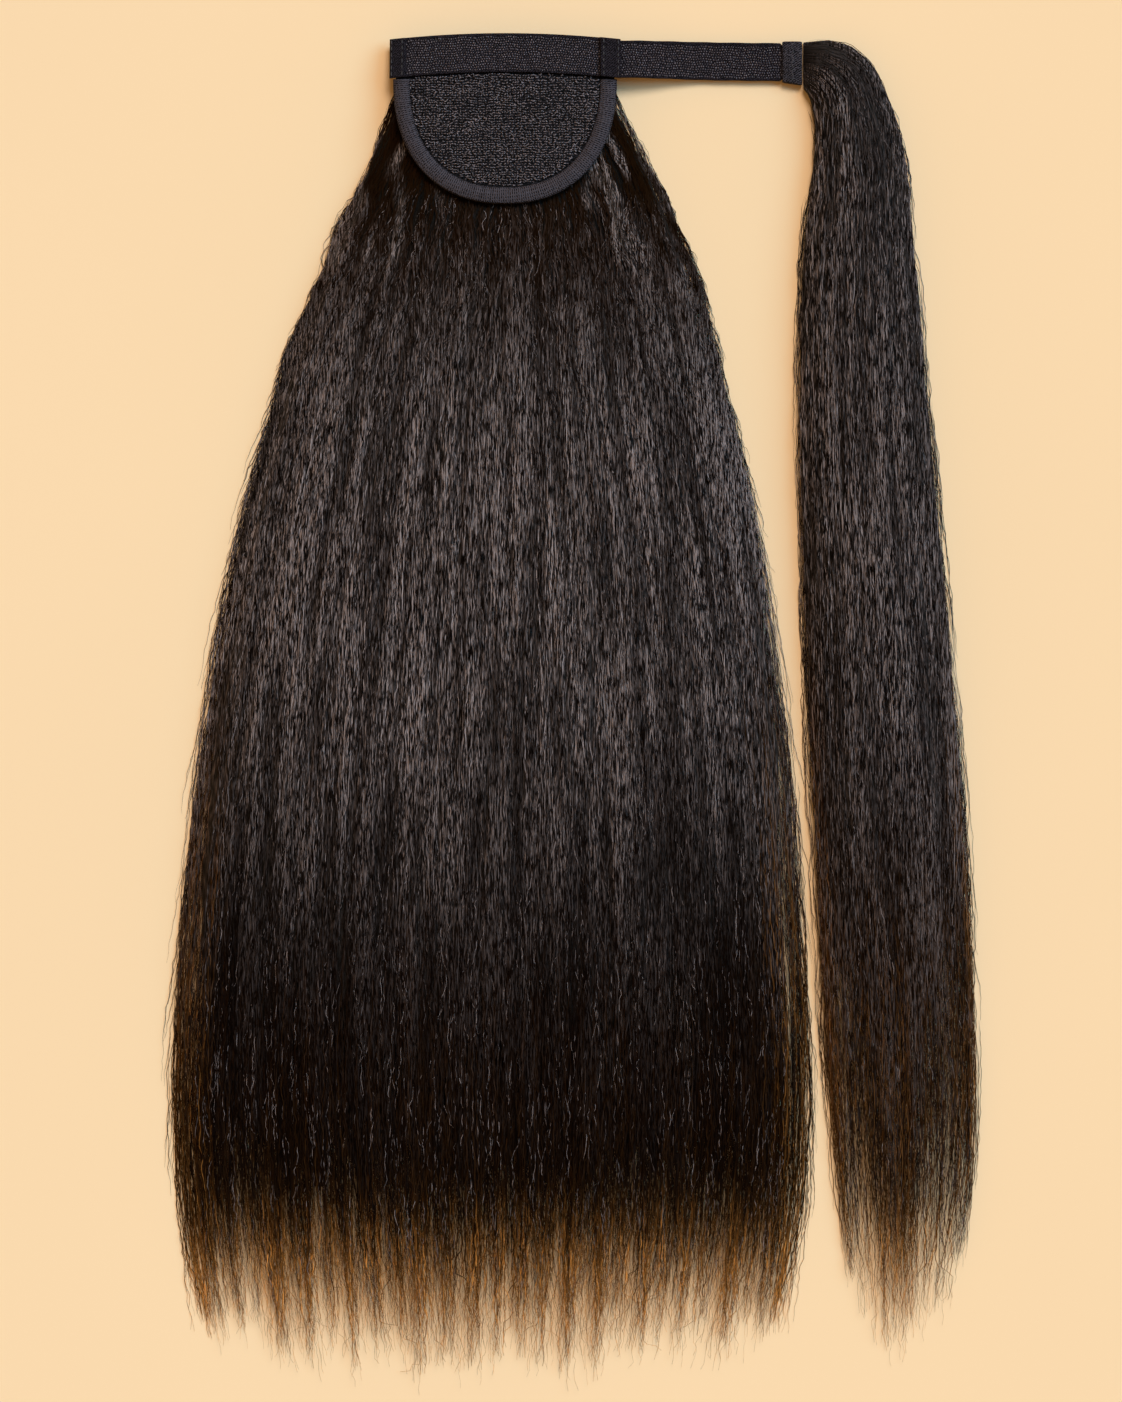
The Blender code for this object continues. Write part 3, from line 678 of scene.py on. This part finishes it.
def makeHooks(name, x0, x1, tape, surface, middle):
    rng = np.random.default_rng(hooks["seed"])
    reach = tape["width"] / 2 - hooks["selvage"]
    xs, ys = np.meshgrid(np.arange(x0, x1, hooks["pitch"]), np.arange(-reach, reach, hooks["pitch"]))
    xs = xs + (np.arange(xs.shape[0]) % 2)[:, None] * hooks["pitch"] / 2
    xs, ys = xs.ravel(), ys.ravel()
    xs = xs + rng.normal(0, hooks["jitter"][0], len(xs)) + 0.0003 * np.sin(ys / 0.0011)
    ys = ys + rng.normal(0, hooks["jitter"][1], len(xs)) + 0.00022 * np.sin(xs / 0.0016)
    places = np.stack([xs, middle(xs) + ys, surface(xs, middle(xs) + ys)], 1)
    leanX, leanY = rng.normal(0, hooks["tilt"], len(xs)), rng.normal(0, hooks["tilt"], len(xs))
    turns = np.stack([leanX, leanY, rng.uniform(0, 6, len(xs))], 1)
    sizes = np.repeat(rng.uniform(*hooks["sizes"], len(xs))[:, None], 3, 1)
    piece = pointCloud(name, places, turns, sizes)
    return growPiece(piece, hookTree, hookLook)


stitching = {"pitch": 0.0027, "zigzag": 0.0018, "proud": 0.00008}


def stitchShape(tree, get):
    bead = geometry(tree, "MeshUVSphere", Segments=6, Rings=4, Radius=0.5)
    long = shading(tree, "CombineXYZ", X=get["Length"], Y=get["Thread"], Z=get["Thread"])
    return geometry(tree, "Transform", Geometry=bead, Scale=long)


stitchTree = instanceTree("stitchRows", stitchShape, {"Length": 0.0021, "Thread": 0.00044})


def makeStitches():
    places, turns = [], []
    tilt = math.atan(patch["lift"] / -patchBottomY)
    for x in (-bandHalf + 0.0008, hemLeft - 0.0008, hemRight + 0.0012, bandHalf - 0.0010):  # each hem's edges
        foot, head = (bandMiddleY(x) + side * band["width"] / 2 for side in (-1, 1))
        for y in np.arange(foot + 0.0016, head - 0.0010, stitching["pitch"]):
            places.append((x, y, float(bandTop(np.array(x), y)) + stitching["proud"]))
            turns.append((0, tilt, math.pi / 2))
    z = tab["clearance"] + tapeThickness + 2 * fitGap + 2 * tab["wall"] + 1.5 * stitching["proud"]
    across = np.arange(tabMiddleY - 0.0072, tabMiddleY + 0.0074, stitching["zigzag"])
    for k, y in enumerate(across):  # a zigzag over the tab
        places.append((tabStartX + tab["length"] * 0.52, y, z))
        turns.append((0, 0, math.pi / 2 + (0.75 if k % 2 else -0.75)))
    piece = pointCloud("hemStitches", np.array(places), np.array(turns), np.ones((len(places), 3)))
    return growPiece(piece, stitchTree, threadLook)


def strapMiddle(x):
    return strapFoot(x)[0]


def strapTop(x, y):
    middle, foot, lean = strapFoot(x)
    return foot - lean * (y - middle) + tapeThickness * 0.95


field = makeField()
loops = makeLoops()
binding = makeBinding()
bindingRibs = makeRibs()
bandPiece = makeBand()
bandHooks = makeHooks("bandHooks", hemLeft + 0.0014, hemRight - 0.0012, band, bandTop, bandMiddleY)
strapPiece = makeStrap()
strapHooks = makeHooks("strapHooks", bandHalf + 0.0006, tabStartX - 0.0012, strap, strapTop, strapMiddle)
tabPiece = makeTab()
stitches = makeStitches()
print("patch, band, strap and tab made")


# hair

bundleSections = [  # along, half width, crown, drift
    (0, 0.3, 0.23, 0), (0.04, 0.365, 0.42, 0), (0.112, 0.498, 0.7, -0.16), (0.183, 0.61, 0.8, 0.05),
    (0.273, 0.72, 0.89, 0.3), (0.364, 0.812, 0.95, 0.52), (0.5, 0.908, 1, 0.76), (0.636, 0.962, 0.92, 0.9),
    (0.78, 0.995, 0.62, 1), (0.86, 0.98, 0.4, 1), (1, 0.9, 0.08, 1)]
strand = {"length": 0.5445, "clearance": 0.0072, "width": 0.0650, "height": 0.0200}
strandSections = [  # out, down, turn, half width, crown
    (0.015, 0, 0, 0.262, 0.1), (0.107, 0.0012, 0.24, 0.343, 0.26), (0.25, 0.0052, 0.44, 0.422, 0.48),
    (0.384, 0.015, 0.65, 0.475, 0.64), (0.483, 0.0328, 0.88, 0.512, 0.74), (0.534, 0.048, 0.98, 0.553, 0.79),
    (0.563, 0.069, 1, 0.6, 0.84), (0.563, 0.137, 1, 0.724, 0.9), (0.62, 0.274, 1, 0.857, 0.97),
    (0.763, 0.457, 1, 0.95, 1), (0.904, 0.64, 1, 1, 0.88), (1.01, 0.823, 1, 0.93, 0.46),
    (1, 1, 1, 0.64, 0.08)]


class Bundle:
    def __init__(self, length, width, locks, seed):
        self.length, self.width, self.locks, self.seed = length, width, locks, seed
        rng = np.random.default_rng(seed)
        widths = 1 + 0.35 * rng.uniform(-1, 1, locks)
        edges = np.concatenate([[0], np.cumsum(widths)])
        self.edges = -1 + 2 * edges / edges[-1]
        self.middles = (self.edges[1:] + self.edges[:-1]) / 2
        self.ends = rng.uniform(0, 1, locks)

    # painted sheen: a painted highlight band along the hair with painted shade next to the patch and low down,
    # painted sheen on clumps beside the patch, ending sooner at the sides
    def paintedSheenAt(self, s, u):
        # painted sheen on wavy clumps beside the patch
        side = ease(np.abs(u), self.crown[0], 0.25) * (1 - ease(s, 0.10, 0.16))
        side = side * ease(s, -0.02, 0.05)
        bent = u * self.width / 0.017 + 0.9 * softNoise(s * self.length / 0.016, u * 4, self.seed + 12)
        clump = np.clip(0.06 + 2.6 * softNoise(bent, s * self.length / 0.020, self.seed + 9), 0, 1.2)
        uneven = softNoise(u * self.width / 0.016, s * self.length / 0.10, self.seed + 15)
        # the painted sheen ends sooner towards the sides
        lower = (self.fading * u**2 + 0.035 * uneven) * ease(s, 0.40, 0.15)
        lit = readTable(self.paintedSheen, np.clip(s + lower, 0, 1))[0]
        return np.maximum(lit * np.ones_like(u), self.crown[1] * side * clump)

    def lumpsAt(self, u, metres):  # small locks that stand up; fibres on them get painted sheen, fibres between them painted shade
        return softNoise(u * self.width / 0.011, metres / 0.055, self.seed + 8)

    def mound(self, u):
        return np.maximum(0.0, 1 - np.abs(u) ** 2.3) ** 0.75

    def lockOf(self, u):
        return np.clip(np.searchsorted(self.edges, u) - 1, 0, self.locks - 1)

    def offMiddle(self, u):
        lock = self.lockOf(u)  # 0 in the middle of a lock, 1 between two
        return np.abs(u - self.middles[lock]) / ((self.edges[lock + 1] - self.edges[lock]) / 2)

    def endShare(self, u):
        lock = self.lockOf(u)
        sideways, power, uneven = self.shorter
        return 1 - sideways * np.abs(self.middles[lock]) ** power - uneven * self.ends[lock]


class Ponytail(Bundle):
    crown = (0.30, 1.0)  # painted sheen on clumps beside the patch: from this share of the half width, how much
    rim, warmth = 0.91, 0.24  # where the painted glow through its thin sides begins, how much painted glow its low fibres get
    fading, crinkle = 0.05, 1.0  # how much sooner the painted sheen ends at the sides, waves near the root
    bodyEnd, ragged, centred = 0.120, 0.090, 1.0  # shorter underneath, uneven ends, ends kept to the middle
    narrowing = (0.45, 0.45, 0.08)  # of the layer under the fibres: from, over, how much
    shorter = (0.030, 3, 0.026)  # towards the sides, the power of that, and from lock to lock
    paintedSheen = [(0, 0.02), (0.11, 0.03), (0.15, 0.24), (0.20, 0.62), (0.28, 0.95), (0.51, 1.0), (0.60, 0.62),
             (0.67, 0.28), (0.74, 0.10), (0.82, 0.03), (1, 0.02)]  # along, how much painted sheen it gets: a painted highlight band, with painted shade next to the patch and low down

    def place(self, u, s, lift):
        half, crown, drift = readTable(bundleSections, s)
        x = -bundle["drift"] * drift + bundle["width"] / 2 * half * u
        y = -bundle["root"] - bundle["length"] * s
        crown = bundle["height"] * crown
        edge = np.minimum(bundle["edge"], crown)
        edgeY = patchBottomY - 2 * fitGap
        ceiling = underside(x, y) - patch["wall"] - 2 * fitGap - 0.0004
        ceiling = ceiling + bundle["swell"] * np.maximum(0, edgeY - y)  # it stays under the patch, then rises
        under = ease(y, edgeY, 0.004)
        z = edge + (crown - edge) * self.mound(u) + lift
        z = np.minimum(z, ceiling + np.maximum(lift, 0) * (1 - under))
        return np.stack([x, y, np.maximum(z, 0.0002)], -1)


strandReach = bundle["width"] / 2 - bundle["drift"] + strand["clearance"] + strand["width"] / 2 - tabEndX
strandRows = np.array([
    (tabEndX + out * strandReach, tabMiddleY - down * strand["length"], -turn * math.pi / 2,
     strand["width"] / 2 * half, strand["height"] * crown)
    for out, down, turn, half, crown in strandSections])
strandAlong = runAlong(strandRows[:, 0], strandRows[:, 1])
strandLine = np.column_stack([strandAlong / strandAlong[-1], strandRows])


class WrapStrand(Bundle):
    crown = (0.0, 0.0)
    # where the painted glow through its thin sides begins, how much painted glow its low fibres get
    rim, warmth = 0.72, 0.70
    fading, crinkle = 0.03, 0.25
    bodyEnd, ragged, centred = 0.215, 0.165, 1.50
    narrowing = (0.50, 0.38, 0.28)
    shorter = (0.085, 2.5, 0.030)
    # along, how much painted sheen it gets: a painted highlight band
    paintedSheen = [(0, 0.5), (0.08, 0.8), (0.2, 0.84), (0.45, 0.8), (0.58, 0.66), (0.7, 0.4), (0.82, 0.15),
             (1, 0.06)]

    def place(self, u, s, lift):
        x, y, heading, half, crown = readTable(strandLine, s)
        base = strapRest * (1 - smoothStep(s / 0.05))
        edge = np.minimum(bundle["edge"], crown)
        z = base + edge + (crown - edge) * self.mound(u) + lift
        x, y = x - np.sin(heading) * half * u, y + np.cos(heading) * half * u
        return np.stack([x, y, np.maximum(z, 0.0002)], -1)


ponytail = Ponytail(bundle["length"], bundle["width"], 25, 41)
wrapStrand = WrapStrand(strandAlong[-1], strand["width"], 8, 57)


# the dark layer that the fibres lie on

relief = [(0.0009, 0.011, 0.09), (0.0005, 0.0038, 0.05), (0.00035, 0.0022, 0.0075)]  # height, across, along
body = {"between": 0.020, "ragged": 0.040, "ruffle": 0.010, "thinFrom": 0.82, "thinOver": 0.09,
        "sides": 0.46, "lowest": 0.0008, "least": 0.0004}


def makeUnderbody(hair, name, groups, narrow, sink, rows=70):
    columns = 4 * groups + 1
    u = np.linspace(-1, 1, columns)
    ends = hair.endShare(u) - hair.bodyEnd - body["between"] * np.clip(hair.offMiddle(u), 0, 1) ** 1.2
    ends = ends - body["ragged"] * np.random.default_rng(hair.seed).random(columns)
    t = np.linspace(0, 1, rows)[:, None]
    s = ends * t
    begins, over, amount = hair.narrowing
    ruffle = body["ruffle"] * softNoise(s * hair.length / 0.012, np.sign(u) * 3, hair.seed + 4)
    uu = u * narrow * (1 - amount * ease(s, begins, over) + ruffle)
    across, along = uu * hair.width / 2, s * hair.length
    bumps = sum(height * softNoise(across / pitchX, along / pitchY, hair.seed + k)
                for k, (height, pitchX, pitchY) in enumerate(relief))
    fade = smoothStep(s / 0.12) * (1 - 0.6 * ease(s, 0.80, 0.20))
    top = hair.place(uu, s, -sink + bumps * fade)
    top[..., 2] *= 1 - ease(t, 0.86, 0.14) * 0.85  # thins towards its end
    top[..., 2] = np.maximum(top[..., 2], body["lowest"])
    bottom = top[:, ::4].copy()  # a fourth of the points will do underneath
    baseHeight = hair.place(uu[:, ::4], s[:, ::4], -1.0)[..., 2]
    bottom[..., 2] = np.minimum(np.maximum(baseHeight, 0.0003), bottom[..., 2] - body["least"])
    around = lambda values: np.concatenate([values, values[:, ::4][:, ::-1]], axis=1)
    points = np.concatenate([top, bottom[:, ::-1]], axis=1).reshape(-1, 3)
    ring = columns + groups + 1
    faces = tubeFaces(rows, ring)
    for row, flip in ((0, False), (rows - 1, True)):
        a = row * ring
        for g in range(groups):
            cap = [a + 4 * g + k for k in range(5)] + [a + ring - 1 - g - 1, a + ring - 1 - g]
            faces.append(tuple(reversed(cap)) if flip else tuple(cap))
    piece = meshPiece(name, toFrame(points), faces, depthLook)
    paintedSheen = hair.paintedSheenAt(s, uu)
    uneven = 0.025 * softNoise(across / 0.003, along / 0.1, hair.seed + 10)
    # painted glow of light through thin hair at its end and sides
    thin = 0.9 * smoothStep((s - body["thinFrom"] + uneven) / body["thinOver"])
    sides = smoothStep((np.abs(u) - hair.rim + 0.12) / (1.12 - hair.rim)) * ease(s, 0.30, 0.40)
    thin = np.maximum(thin, body["sides"] * sides)
    pointAttribute(piece, "paintedSheen", "FLOAT", around(paintedSheen))
    pointAttribute(piece, "thin", "FLOAT", around(thin))
    cornerUv(piece, around(np.stack([across, along], -1)).reshape(-1, 2))
    return faceOut(piece)


# fibres: ribbons along guide lines

fibreSizes = {"Spacing": 0.0029, "Kink": 0.00074, "Across": 0.0015, "Along": 0.0056, "Twist": 0.45, "Own": 0.3}


def strandTree():
    tree, get, end = newTree("hairFibres", fibreSizes)
    curves = geometry(tree, "MeshToCurve", Mesh=get["Geometry"])
    even = geometry(tree, "ResampleCurve", {"mode": "LENGTH"}, Curve=curves, Length=get["Spacing"])
    flow = addNode(tree, "ShaderNodeSeparateXYZ", Vector=readAttribute(tree, "flow", "FLOAT_VECTOR")).outputs
    spot = shading(tree, "CombineXYZ", X=maths(tree, "DIVIDE", flow[0], get["Across"]),
                   Y=maths(tree, "DIVIDE", flow[1], get["Along"]),
                   Z=times(tree, readAttribute(tree, "own"), get["Own"]))
    noise = addNode(tree, "ShaderNodeTexNoise", Vector=spot, Scale=1.0, Detail=1.0, Roughness=0.45)
    centred = vectorMaths(tree, "SUBTRACT", noise.outputs["Color"], (0.5, 0.5, 0.5))
    size = times(tree, get["Kink"], 4.0, readAttribute(tree, "loose"))
    kink = shading(tree, "VectorMath", {"operation": "SCALE"}, i0=centred, Scale=size)
    moved = geometry(tree, "SetPosition", Geometry=even, Offset=kink)
    where = addNode(tree, "ShaderNodeSeparateXYZ", Vector=geometry(tree, "InputPosition")).outputs
    raised = shading(tree, "CombineXYZ", X=where[0], Y=where[1],
                     Z=maths(tree, "MAXIMUM", where[2], 0.0005))  # nothing dips under the floor
    moved = geometry(tree, "SetPosition", Geometry=moved, Position=raised)
    upright = geometry(tree, "SetCurveNormal", {"mode": "Z_UP"}, Curve=moved)
    turned = vectorMaths(tree, "ADD", vectorMaths(tree, "MULTIPLY", spot, (0.9, 0.6, 2.0)), (31.0, 7.0, 3.0))
    turning = maths(tree, "SUBTRACT", noiseOn(tree, turned, detail=1.0), 0.5)
    tilted = geometry(tree, "SetCurveTilt", Curve=upright, Tilt=times(tree, turning, 4.0, get["Twist"]))
    wide = readAttribute(tree, "wide")
    sized = geometry(tree, "SetCurveRadius", Curve=tilted, Radius=wide)
    profile = geometry(tree, "CurvePrimitiveLine", Start=(0.5, 0, 0), End=(-0.5, 0, 0))
    ribbon = geometry(tree, "CurveToMesh", Curve=sized, Profile_Curve=profile, Scale=wide)
    smooth = geometry(tree, "SetShadeSmooth", Geometry=ribbon)
    real = geometry(tree, "RealizeInstances", i0=smooth)
    look = geometry(tree, "SetMaterial", Geometry=real, Material=get["Material"])
    tree.links.new(look, end.inputs[0])
    return tree


fibreTree = strandTree()


def guideLines(name, places, flows, values):
    count, steps = places.shape[:2]
    first = (np.arange(count) * steps)[:, None] + np.arange(steps - 1)
    edges = np.stack([first.ravel(), first.ravel() + 1], 1)
    piece = meshPiece(name, toFrame(places.reshape(-1, 3)), [], None, edges=edges.tolist())
    pointAttribute(piece, "flow", "FLOAT_VECTOR", flows.reshape(-1, 3))
    for label, value in values.items():
        pointAttribute(piece, label, "FLOAT", np.broadcast_to(value, (count, steps)).ravel())
    return piece


fringe = {"past": 0.016, "between": 0.055, "gatherFrom": 0.84, "gather": (0.1, 1.25)}  # shares of the length
crimp = {"wave": (0.0060, 0.030, 0.024, 0.06, 0.24),  # how far, across, along, fades from, over
         "ripple": (0.0032, 0.013, 0.0068, 0.10, 0.25), "wander": (0.0028, 0.06, 0.0012, 0.02),
         "lumps": 0.0009, "uneven": 0.0006, "dive": (0.0016, 0.14), "stray": 0.0012, "tipStray": 0.0042,
         "rootLoose": 0.5, "tipLoose": 0.75}
# brown of thin tips and sides: painted glow of light through thin hair
brown = {"from": 0.845, "uneven": 0.035, "over": 0.10, "inward": (-0.10, 0.05), "sides": 0.66, "roots": 0.12}
tone = {"middle": 0.48, "lumps": 0.66, "own": 0.26}  # how a fibre's lightness is made up: a middle, painted sheen on raised locks with painted shade between them, its own random tone


def fibreEnds(hair, rng, u0, lengths, span, least):
    count = len(u0)
    if span is None:  # a fringe is set by where its fibres end
        off = np.clip(hair.offMiddle(u0), 0, 1)
        end = hair.endShare(u0) + fringe["past"] - fringe["between"] * off**1.1 * rng.uniform(0.3, 1.2, count)
        end = end - hair.ragged * rng.random(count) ** 0.9
        return end - rng.uniform(*lengths, count) / hair.length, end
    begin = rng.uniform(*span, count) - lengths[0] / hair.length * rng.uniform(0, 1, count)
    begin = np.maximum(begin, 0.0)
    end = begin + rng.uniform(*lengths, count) / hair.length
    end = np.minimum(end, hair.endShare(u0) - 0.02 * rng.random(count))
    return np.minimum(begin, end - least), end


def fibrePath(hair, rng, u0, s, t, seed, tips, sides):
    count, half, metres = len(u0), hair.width / 2, s * hair.length
    own = rng.uniform(0, 40, count)[:, None]
    slow, slowPitch, quick, quickPitch = crimp["wander"]
    wander = slow * softNoise(metres / slowPitch, own, seed + 1)
    wander = wander + quick * softNoise(metres / quickPitch, own, seed + 2)
    u = u0[:, None] + wander / half
    bends = []
    for k, (far, across, along, begin, over) in ((7, crimp["wave"]), (6, crimp["ripple"])):
        bend = softNoise(u * hair.width / across, metres / along, hair.seed + k)
        bends.append(far * ((1 - ease(s, begin, over)) * bend))
    u = u + hair.crinkle * (bends[0] + bends[1]) / half
    stray = rng.normal(0, 1, count)[:, None] * crimp["tipStray" if tips else "stray"] * t**2
    if sides:
        stray = np.sign(u0)[:, None] * rng.uniform(-0.001, sides[1], count)[:, None] * t**1.5
    pull = rng.uniform(*fringe["gather"], count)[:, None] * ease(s, fringe["gatherFrom"], 0.16)
    return u + (hair.middles[hair.lockOf(u)] - u) * pull + stray / half, own


def fibreHeight(hair, rng, lifts, u, metres, t, own, seed, tips):
    lift = rng.uniform(*lifts, len(u))[:, None]
    lift = lift + crimp["uneven"] * softNoise(metres / 0.035, own + 9, seed + 3)
    lift = lift + crimp["lumps"] * hair.lumpsAt(u, metres)
    depth, share = crimp["dive"]  # its ends go in under the others
    lift = lift - depth * (1 - smoothStep(np.minimum(t, 1.0 if tips else 1 - t) / share))
    return lift * (1 - 0.6 * t) if tips else lift


# thin tips and sides: painted glow of light through thin hair; the roots beside the patch: brown
def fibreBrown(hair, rng, u, s):
    count = len(u)
    uneven = brown["uneven"] * rng.uniform(-1, 1, count)[:, None]
    thin = smoothStep((s - brown["from"] + uneven) / brown["over"])
    inward = rng.uniform(*brown["inward"], count)[:, None]
    share = rng.uniform(0.0, 1.0, count)[:, None] ** 1.4
    sides = smoothStep((np.abs(u) - hair.rim - inward) / (0.99 - hair.rim))
    sides = sides * ease(s, 0.30, 0.40) * brown["sides"] * share
    thin = np.maximum(thin, hair.warmth * rng.random(count)[:, None] ** 1.6 * ease(s, 0.48, 0.4))
    sides = sides + brown["roots"] * (1 - ease(s, 0.12, 0.16)) * (hair.crown[0] > 0)
    return np.maximum(thin * rng.uniform(0.70, 1.0, count)[:, None], sides)


def growFibres(hair, name, count, lengths, lifts, widths, seed, span=None, sides=None, reach=0.985, loose=1.0,
               bright=False, spacing=fibreSizes["Spacing"]):
    rng = np.random.default_rng(seed)
    tips = span is None
    t = np.linspace(0, 1, 24 if tips or bright else 48)[None, :]
    u0 = rng.uniform(-reach, reach, count)
    if sides:
        u0 = np.where(u0 > 0, 1, -1) * rng.uniform(*sides[0], count)
    if tips:
        u0 = np.sign(u0) * np.abs(u0) ** hair.centred
    begin, end = fibreEnds(hair, rng, u0, lengths, span, 0.02 if bright else 0.06)
    s = begin[:, None] + (end - begin)[:, None] * t
    metres = s * hair.length
    u, own = fibrePath(hair, rng, u0, s, t, seed, tips, sides)
    lift = fibreHeight(hair, rng, lifts, u, metres, t, own, seed, tips)
    if not sides:
        u = u / (1 + np.abs(u) ** 12) ** (1 / 12)  # keeps it on the bundle
    places = hair.place(np.clip(u, -1.06, 1.06), s, lift)
    flows = np.stack([u * hair.width / 2, metres, np.zeros_like(u)], -1)
    wide = rng.uniform(*widths, count)[:, None]
    taperFrom = 0.45 if tips else 0.75
    taper = smoothStep(t / 0.10) * (1 - 0.66 * smoothStep((t - taperFrom) / (1 - taperFrom)))
    # painted sheen on raised locks and painted shade between them, plus a random tone of its own
    toneAndLockShade = tone["middle"] + tone["lumps"] * hair.lumpsAt(u, metres)
    toneAndLockShade = np.clip(toneAndLockShade + rng.normal(0, tone["own"], count)[:, None], 0, 1)
    thin, paintedSheen = fibreBrown(hair, rng, u, s), hair.paintedSheenAt(s, u)
    if bright:  # stray fibres with a painted glint: full lightness and painted sheen
        toneAndLockShade, paintedSheen, thin = 1.0, rng.uniform(0.3, 1.0, count)[:, None], thin * 0.5
    looser = 1 + crimp["tipLoose"] * ease(s, 0.86, 0.1)
    looser = looser + crimp["rootLoose"] * hair.crinkle * (1 - ease(s, 0.06, 0.26))
    values = {"wide": wide * np.maximum(taper, 0.12), "own": own, "loose": loose * looser, "toneAndLockShade": toneAndLockShade,
              "thin": thin, "paintedSheen": paintedSheen}
    return growPiece(guideLines(name, places, flows, values), fibreTree, fibreLook, Spacing=spacing)


# name, count, lengths, lifts and widths in metres, seed, then what differs; sides: from where, how far out
ponytailSets = [
    *[(f"ponytailFibres{k + 1}", 760, (0.12, 0.26), (-0.0003, 0.0012), (0.00026, 0.00046), 100 + k,
       dict(span=(0.02, 0.8))) for k in range(3)],
    *[(f"ponytailFringe{k + 1}", 1490, (0.07, 0.15), (-0.0006, 0.0006), (0.00017, 0.00031), 150 + k,
       dict(reach=0.995)) for k in range(2)],
    ("ponytailEdge", 480, (0.06, 0.16), (-0.003, 0.0002), (0.0002, 0.00042), 160,
     dict(span=(-0.03, 0.9), sides=((0.93, 1.005), 0.0012), loose=0.8)),
    ("ponytailWisps", 500, (0.04, 0.13), (-0.004, -0.0005), (0.00013, 0.00024), 170,
     dict(span=(0.05, 0.86), sides=((0.95, 1.015), 0.005))),
    ("ponytailFuzz", 560, (0.012, 0.045), (-0.004, -0.0005), (0.00015, 0.00028), 180,
     dict(span=(0.1, 0.36), sides=((0.95, 1.01), 0.006), loose=1.5, spacing=0.0024)),
    # short strays with a painted glint
    ("ponytailStrays", 2300, (0.008, 0.028), (0.0008, 0.0018), (0.0001, 0.00018), 190,
     dict(span=(0.1, 0.93), loose=1.3, bright=True, spacing=0.0018))]
strandSets = [
    ("strandFibres", 640, (0.12, 0.24), (-0.0002, 0.0009), (0.00025, 0.00044), 200, dict(span=(0.0, 0.8))),
    ("strandFringe", 820, (0.09, 0.2), (-0.0006, 0.0007), (0.00015, 0.00029), 250, dict(reach=0.995)),
    ("strandWisps", 420, (0.04, 0.13), (-0.003, -0.0003), (0.00014, 0.00028), 270,
     dict(span=(0.08, 0.8), sides=((0.8, 1.0), 0.0024), loose=0.9)),
    # short strays with a painted glint
    ("strandStrays", 480, (0.008, 0.028), (0.0007, 0.0016), (0.0001, 0.00018), 290,
     dict(span=(0.06, 0.93), loose=1.3, bright=True, spacing=0.0018))]

ponytailParts = [makeUnderbody(ponytail, "ponytailDepth", 50, 0.972, 0.0012)]
ponytailParts += [growFibres(ponytail, *sizes, **more) for *sizes, more in ponytailSets]
strandParts = [makeUnderbody(wrapStrand, "strandDepth", 15, 0.955, 0.0009)]
strandParts += [growFibres(wrapStrand, *sizes, **more) for *sizes, more in strandSets]
print("hair grown")


# what stands for what

everything = [field, loops, binding, bindingRibs, bandPiece, bandHooks, strapPiece, strapHooks, tabPiece,
              stitches, *ponytailParts, *strandParts]
for piece in everything:
    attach(piece, "root")
for piece, node in ((field, "patch_field"), (binding, "patch_binding"), (bandPiece, "top_band"),
                    (strapPiece, "wrap_strap"), (tabPiece, "strap_tab"), (ponytailParts[0], "ponytail_hair"),
                    (strandParts[0], "wrap_strand")):
    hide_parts(node)


# floor, light and camera

photo = {"width": 1122, "height": 1402, "pixel": 0.000415, "middleX": 505, "topY": 38}
studio = {"floor": (0.79, 0.605, 0.405), "distance": 2.6, "focusHeight": 0.012, "sensor": 24,
          "ring": (0.70, 0.41, 0.17), "zenith": (0.33, 0.19, 0.07),
          "key": (2.38, (1.0, 0.84, 0.68), (0.14, 0.50, 0.86), 22),  # strength, colour, where from, angle
          "side": (2.35, (0.222, 0.694, 1.0), (0.66, 0.30, 0.68), 40)}

floorMaterial, floorTree, floorShader = newMaterial("paleFloor", studio["floor"], 0.9, 0.0)
floorNoise = noiseOn(floorTree, objectPlace(floorTree), 4.0)
floorTone = colourRamp(floorTree, floorNoise, [(0.3, shaded(studio["floor"], 0.985)), (0.7, studio["floor"])])
paint(floorTree, floorShader, floorTone)
floorCorners = [(-4, -4, 0), (4, -4, 0), (4, 4, 0), (-4, 4, 0)]
floor = meshPiece("floor", floorCorners, [(0, 1, 2, 3)], floorMaterial, smooth=False)

centre = toFrame([(photo["width"] / 2 - photo["middleX"]) * photo["pixel"],
                  -(photo["height"] / 2 - photo["topY"]) * photo["pixel"], studio["focusHeight"]])
cameraData = bpy.data.cameras.new("camera")
camera = newObject("camera", cameraData)
camera.location = centre + np.array([0, 0, studio["distance"]])
cameraData.sensor_fit = "VERTICAL"
cameraData.sensor_height = studio["sensor"]
cameraData.lens = studio["sensor"] * studio["distance"] / (photo["height"] * photo["pixel"])
cameraData.clip_end = 20
scene.camera = camera


def softSun(name, strength, colour, fromDirection, angle):
    data = bpy.data.lights.new(name, "SUN")
    data.energy, data.color, data.angle = strength, colour, math.radians(angle)
    light = newObject(name, data)
    light.location = Vector(fromDirection) * 2
    light.rotation_euler = (-Vector(fromDirection)).to_track_quat("-Z", "Y").to_euler()


softSun("keyLight", *studio["key"])
softSun("sideLight", *studio["side"])

world = bpy.data.worlds.new("studio")
scene.world = world
world.use_nodes = True
worldTree = world.node_tree
worldPlace = addNode(worldTree, "ShaderNodeTexCoord").outputs["Generated"]
upwards = addNode(worldTree, "ShaderNodeSeparateXYZ", Vector=worldPlace).outputs[2]
sky = colourRamp(worldTree, upwards, [(0.0, studio["ring"]), (0.45, studio["ring"]), (0.75, studio["zenith"]),
                                      (1.0, studio["zenith"])])
worldTree.links.new(sky, worldTree.nodes["Background"].inputs["Color"])
scene.view_settings.view_transform = "Standard"
print("floor, lights and camera placed")
